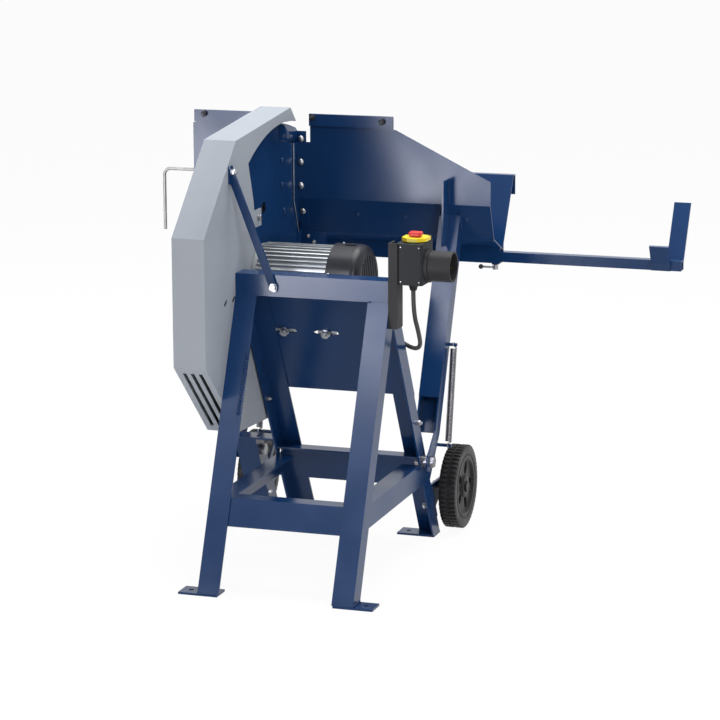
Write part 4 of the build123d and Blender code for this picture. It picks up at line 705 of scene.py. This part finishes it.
def moulded_wheel():
    """One-piece wheel about Z: ribbed tread, ring groove, dished disc with windows, and a flush hub."""
    body = round_bar(mm(WHEEL_R - RIB_HEIGHT), mm(WHEEL_WIDTH), 104)
    body.data.transform(Matrix.Translation((0, 0, -mm(WHEEL_WIDTH / 2))))
    for side in (1, -1):
        bpy.ops.object.mode_set(mode="EDIT")
        pick_faces(body, lambda c, n: n.z * side > FACING)
        for inward, up in SIDE_STEPS:
            bpy.ops.mesh.inset(thickness=mm(inward), depth=mm(up))
        bpy.ops.object.mode_set(mode="OBJECT")
    soften(body, mm(1.0))
    cutter = wheel_cutter()
    cut = body.modifiers.new("openings", "BOOLEAN")
    cut.operation = "DIFFERENCE"
    cut.solver = "EXACT"
    cut.object = cutter
    choose(body)
    bpy.ops.object.modifier_apply(modifier=cut.name)
    drop(cutter)
    rib = tread_rib()
    ribs = []
    for row in (-ROW_OFFSET, ROW_OFFSET):
        for i in range(RIBS):
            copy = twin(rib)
            turn = Matrix.Rotation(2 * math.pi * i / RIBS, 4, "Z")
            copy.data.transform(turn @ Matrix.Translation((0, 0, mm(row))))
            ribs.append(copy)
    drop(rib)
    wheel = joined([body] + ribs)
    bpy.ops.object.shade_smooth_by_angle(angle=SMOOTH_ANGLE)
    return wheel


pattern_wheel = moulded_wheel()
for name, node, x, outward in (("tread_wheel_right", "wheel_right", 208.0, (1, 0, 0)),
                               ("tread_wheel_left", "wheel_left", -300.0, (-1, 0, 0))):
    wheel = copies(pattern_wheel, [(at(x, *WHEEL_MIDDLE), outward, 1.0)])
    settle(wheel, name, node, "wheel_plastic")
    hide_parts(node)
drop(pattern_wheel)


# Fasteners

MOTOR_SIDE = (0, -1, 0)
RIGHT = (1, 0, 0)
LEFT = (-1, 0, 0)
# Square to the trough's sloping facet, square to the rear legs, and down along them
FACET = Vector((0, -86, -34)).normalized()
LEG_OUT = Vector((0, 0.87659, 0.48123))
LEG_DOWN = Vector((0, 0.48123, -0.87659))
# Places in the drawing that several fasteners share
FOOT_Y = 335.0
REAR_SLOPE = 0.54897
FRONT_SLOPE = 0.41680
MOTOR_AXIS = (100.0, 641.0)
COWL_R = 88.0
TERMINAL_LID = 124.0
ANGLE_COLUMNS = (-198.5, -253.0)
ANGLE_FRONT_Y = 421.0
WALL_Y = 424.0
STRIP_Y = 416.0
COVER_FACE_X = -211.0
APRON_Y = 455.5


def rear_y(z):
    """Operator-side face of a rear leg at a height."""
    return FOOT_Y - REAR_SLOPE * z


def front_y(z):
    """Motor-side face of a front leg at a height."""
    return -FOOT_Y + FRONT_SLOPE * z


def facing(direction, size, points):
    """Places of fasteners of one size that face one way, at points of the drawing."""
    return [(at(*point), direction, size) for point in points]


def fasten(pattern, places, name, body, slot="zinc_steel"):
    """One piece of all the fasteners at these places, riding on a body."""
    settle(copies(pattern, places), name, body, slot)


dome, nut, head, screw_head = coach_head(), nut_and_end(), hex_head(), cross_screw()

angle_places = facing(MOTOR_SIDE, 1.0, [(x, ANGLE_FRONT_Y, z) for x in ANGLE_COLUMNS for z in (864.0, 807.0)])
angle_places += facing(MOTOR_SIDE, 1.0, [(-198.5, WALL_Y, 919.0)])
angle_places += facing(MOTOR_SIDE, 0.8, [(-248.0, WALL_Y, 919.0)])
angle_places += facing(FACET, 1.0, [(x, 433.5, 743.5) for x in ANGLE_COLUMNS])
fasten(dome, angle_places, "angle_bolts", "rocker")
cover_row = ((328.0, 934.0), (321.0, 880.0), (320.0, 823.0), (334.0, 759.0))
fasten(dome, facing(RIGHT, 0.9, [(COVER_FACE_X, y, z) for y, z in cover_row]), "cover_bolts", "rocker",
       "blue_paint")
strip_row = ((-167.0, 972.0), (9.0, 968.0), (-442.0, 972.0), (-285.0, 970.0))
fasten(nut, facing(MOTOR_SIDE, 0.95, [(x, STRIP_Y, z) for x, z in strip_row]), "strip_nuts", "rocker",
       "cowl_paint")
apron_row = ((-193.0, 679.0), (-178.0, 665.0))
fasten(nut, facing(MOTOR_SIDE, 0.6, [(x, APRON_Y, z) for x, z in apron_row]), "trough_nuts", "rocker")
facet_row = [(x, 437.8, 742.0) for x in (-61.0, 59.0, 210.0)]
fasten(dome, facing(FACET, 0.7, facet_row), "facet_bolts", "rocker", "blue_paint")
fasten(head, facing(MOTOR_SIDE, 1.15, [(-89.7, -77.0, 652.0)]), "strut_bolt", "stand")
fasten(nut, facing(RIGHT, 0.95, [(-176.7, -100.0, 912.0)]), "strut_nut", "stand")
fasten(head, facing(RIGHT, 1.0, [(-181.7, 80.0, 783.0)]), "guard_tab_bolt", "stand")
bracket_places = facing(LEG_OUT, 1.05, [(155.0, rear_y(z) + 6.0, z) for z in (78.0, 110.0)])
bracket_places += facing(RIGHT, 0.8, [(-222.0, 243.0, 92.0), (-222.0, 208.0, 160.0)])
fasten(head, bracket_places, "bracket_bolts", "stand")
stop_places = facing(-LEG_OUT, 0.8, [(155.0, rear_y(78.0) - 4.5, 78.0)])
stop_places += facing(RIGHT, 0.85, [(177.7, 152.0, 309.0)])
stop_places += facing(RIGHT, 0.75, [(-173.7, 108.0, 353.0)])
fasten(nut, stop_places, "stop_nuts", "stand")
stop_heads = facing(LEFT, 0.8, [(173.7, 152.0, 309.0)])
stop_heads += facing(LEFT, 0.75, [(-177.7, 108.0, 353.0)])
fasten(head, stop_heads, "stop_bolts", "stand")
box_corners = [(x, -80.0, z) for x in (210.5, 252.5) for z in (682.5, 759.5)]
fasten(screw_head, facing(MOTOR_SIDE, 0.5, box_corners), "switch_screws", "stand", "core_steel")
cowl_places = []
for turn in (20.0, 110.0, 200.0, 290.0):
    out = Vector((0, math.sin(math.radians(turn)), math.cos(math.radians(turn))))
    cowl_places += facing(out, 1.1, [Vector((8.0, *MOTOR_AXIS)) + out * COWL_R])
fasten(screw_head, cowl_places, "cowl_screws", "stand")
lid_points = []
for x in (-138.0, -66.0):
    for side in (-32.0, 32.0):
        lid_points.append(Vector((x, *MOTOR_AXIS)) + LEG_DOWN * TERMINAL_LID + LEG_OUT * side)
fasten(screw_head, facing(LEG_DOWN, 1.0, lid_points), "terminal_screws", "stand")
drop(dome, nut, head, screw_head)


# Plates and plugs that the frame's pieces carry

PIVOT = (197.0, 207.0)
TIP_R = 769.0
# Radius and place of the bright zinc bars that paint a highlight along the cover's folded front edge
EDGE_R = 0.9
EDGE_X = -208.4
VENT_YS = (-135.0, -84.0)
VENT_Z = 622.0
VENT_TURN = math.radians(30.0)
# Outlines in Y and Z of the drawing
ANGLE_TOP = [(WALL_Y, 911.5), (427.0, 911.5), (427.0, 938.0), (WALL_Y, 938.0)]
GUSSET = [(441.0, 733.0), (457.0, 691.0), (458.5, 640.0), (426.0, 642.0), (425.0, 715.0)]
APRON = [(APRON_Y, 640.0), (458.5, 640.0), (458.5, 690.5), (APRON_Y, 692.0)]
VENT_PLUG = [(-8.5, -3.2), (8.5, -3.2), (8.5, 3.2), (-8.5, 3.2)]


def plate(outline, left, right):
    """Flat plate with an outline in Y and Z of the drawing, drawn out along X, its edges broken."""
    deselect()
    bpy.ops.mesh.primitive_circle_add(vertices=len(outline), radius=mm(10), fill_type="NGON")
    sheet = bpy.context.object
    for vertex, (y, z) in zip(sheet.data.vertices, outline):
        vertex.co = at(left, y, z)
    bpy.ops.object.mode_set(mode="EDIT")
    bpy.ops.mesh.select_all(action="SELECT")
    bpy.ops.mesh.extrude_region_move(TRANSFORM_OT_translate={"value": (mm(right - left), 0, 0)})
    bpy.ops.mesh.select_all(action="SELECT")
    bpy.ops.mesh.normals_make_consistent(inside=False)
    bpy.ops.object.mode_set(mode="OBJECT")
    soften(sheet, mm(0.6))
    return sheet


def over_pivot(y, radius):
    """Height of an arc about the rocker's pivot."""
    return PIVOT[1] + math.sqrt(radius ** 2 - (y - PIVOT[0]) ** 2)


def painted_highlight_bar(start, end):
    """Thin round bar in bright zinc finish between two points of the drawing: a painted highlight along a
    sheet's rounded fold.
    """
    reach = at(*end) - at(*start)
    bar = round_bar(mm(EDGE_R), reach.length, 10)
    soften(bar, mm(0.3))
    turn = reach.to_track_quat("Z", "Y").to_matrix().to_4x4()
    bar.data.transform(Matrix.Translation(at(*start)) @ turn)
    return bar


settle(joined([plate(ANGLE_TOP, COVER_FACE_X, -186.0), plate(ANGLE_TOP, -254.0, -241.0)]),
       "angle_ends", "rocker", "blue_paint")
settle(joined([plate(GUSSET, COVER_FACE_X, -208.0), plate(APRON, -208.5, -147.0)]),
       "slot_bracket", "rocker", "blue_paint")
cover_tip = [(310.0, 930.0), (WALL_Y, 912.0)]
cover_tip += [(y, over_pivot(y, TIP_R)) for y in (WALL_Y, 395.0, 367.0, 338.0, 310.0)]
settle(plate(cover_tip, COVER_FACE_X, -208.5), "cover_tip", "rocker", "blue_paint")
# Bright zinc bars along the cover's front fold: a painted highlight of the bend, not bare metal
edge_line = [(EDGE_X, 398.6, 911.8), (EDGE_X, 398.6, 772.4), (EDGE_X, 429.8, 693.4)]
settle(joined([painted_highlight_bar(edge_line[0], edge_line[1]), painted_highlight_bar(edge_line[1], edge_line[2])]),
       "cover_fold_highlights", "rocker", "zinc_steel")
plugs = []
for y in VENT_YS:
    turn = Matrix.Rotation(VENT_TURN, 2)
    corners = [Vector((y, VENT_Z)) + turn @ Vector(corner) for corner in VENT_PLUG]
    plugs.append(plate([tuple(corner) for corner in corners], -184.5, -181.2))
settle(joined(plugs), "vent_plugs", "stand", "black_plastic")


# Weld beads

ripple = weld_ripple()
seams = []
for side in (-1.0, 1.0):
    seams += bead((side * 173.0, front_y(147.0) + 6.0, 147.0), (side * 173.0, front_y(204.0) + 6.0, 204.0))
    seams += bead((side * 179.0, -66.0, 631.0), (side * 134.0, -70.5, 631.0))
    seams += bead((side * 180.5, front_y(8.0) + 2.0, 6.0), (side * 180.5, front_y(8.0) + 46.0, 6.0))
seams += bead((-222.5, 170.0, 244.0), (-222.5, 196.0, 244.0))
seams += bead((-135.0, front_y(506.0) - 0.5, 506.0), (-140.0, front_y(380.0) - 0.5, 380.0), 5.2, 1.35)
settle(copies(ripple, seams), "stand_welds", "stand", "blue_paint")
arm_seams = []
for x in (145.0, 195.0, -330.0, -280.0):
    arm_seams += bead((x, 431.0, 757.0), (x, 446.0, 719.0))
for x in (168.0, 172.0, -307.0, -303.0):
    arm_seams += bead((x, 422.0, 782.0), (x, 422.0, 834.0))
settle(copies(ripple, arm_seams), "rocker_welds", "rocker", "blue_paint")
drop(ripple)


# Studio

FLOOR_TONE = (0.9, 0.9, 0.9, 1.0)
FLOOR_ROUGH = 0.8
# How much of the floor shows as plain white; the rest shows its shade
FLOOR_WHITE = 0.94
ROOM_LEVEL = 0.45
WHITE_LEVEL = 1.0
LAMP_TONE = (1.0, 1.0, 1.0)
CARD_TONE = (0.90, 0.91, 1.0)
# Name, place, aim, width, height, power, and whether it is a card that shows in gloss alone
LAMPS = (("key", (3.2, -4.4, 3.6), (0, 0, 0.6), 2.0, 2.0, 110.0, False),
         ("low_card", (-1.10, -2.45, 0.42), (-0.15, 0.27, 0.85), 1.3, 0.6, 62.0, True),
         ("high_card", (-0.95, -2.7, 2.35), (0.0, -0.25, 0.6), 0.9, 0.6, 36.0, True),
         ("side", (-3.4, 0.6, 2.4), (0, 0, 0.6), 2.0, 2.0, 36.0, False),
         ("top", (0.2, 0.6, 3.8), (0, 0, 0.6), 2.6, 2.6, 160.0, False))


def shows_white(tree):
    """Socket that is 1 for rays from the camera, from gloss and through glass, and 0 for the others."""
    rays = tree.nodes.new("ShaderNodeLightPath")
    shown = rays.outputs["Is Camera Ray"]
    for kind in ("Is Glossy Ray", "Is Transmission Ray"):
        either = tree.nodes.new("ShaderNodeMath")
        either.operation = "MAXIMUM"
        tree.links.new(shown, either.inputs[0])
        tree.links.new(rays.outputs[kind], either.inputs[1])
        shown = either.outputs[0]
    return shown


def floor_finish():
    """Pale floor that shows white to the camera and to gloss and keeps the soft shadow."""
    material = bpy.data.materials.new("pale_floor")
    material.use_nodes = True
    nodes, links = material.node_tree.nodes, material.node_tree.links
    shader = nodes["Principled BSDF"]
    shader.inputs["Base Color"].default_value = FLOOR_TONE
    shader.inputs["Roughness"].default_value = FLOOR_ROUGH
    glow = nodes.new("ShaderNodeEmission")
    share = nodes.new("ShaderNodeMath")
    share.operation = "MULTIPLY"
    share.inputs[1].default_value = FLOOR_WHITE
    links.new(shows_white(material.node_tree), share.inputs[0])
    mix = nodes.new("ShaderNodeMixShader")
    links.new(share.outputs[0], mix.inputs[0])
    links.new(shader.outputs["BSDF"], mix.inputs[1])
    links.new(glow.outputs["Emission"], mix.inputs[2])
    links.new(mix.outputs["Shader"], nodes["Material Output"].inputs["Surface"])
    return material


def surround():
    """World that lights the saw from all round and shows white behind it."""
    world = bpy.data.worlds.new("studio")
    world.use_nodes = True
    nodes, links = world.node_tree.nodes, world.node_tree.links
    back = nodes["Background"]
    level = nodes.new("ShaderNodeMapRange")
    level.inputs["To Min"].default_value = ROOM_LEVEL
    level.inputs["To Max"].default_value = WHITE_LEVEL
    links.new(shows_white(world.node_tree), level.inputs["Value"])
    links.new(level.outputs["Result"], back.inputs["Strength"])
    back.inputs["Color"].default_value = (1.0, 1.0, 1.0, 1.0)
    bpy.context.scene.world = world


def studio():
    """Floor, white surround, three soft lamps and two cards."""
    deselect()
    bpy.ops.mesh.primitive_plane_add(size=80.0)
    ground = bpy.context.object
    ground.name = "floor"
    ground.data.materials.append(floor_finish())
    surround()
    for name, place, aim, width, height, power, card in LAMPS:
        lamp = bpy.data.lights.new(name, "AREA")
        lamp.shape = "RECTANGLE"
        lamp.size = width
        lamp.size_y = height
        lamp.energy = power
        lamp.color = CARD_TONE if card else LAMP_TONE
        lit = bpy.data.objects.new(name, lamp)
        lit.visible_diffuse = not card
        lit.location = place
        lit.rotation_euler = (Vector(aim) - Vector(place)).to_track_quat("-Z", "Y").to_euler()
        bpy.context.collection.objects.link(lit)
    bpy.context.scene.view_settings.view_transform = "Standard"


studio()
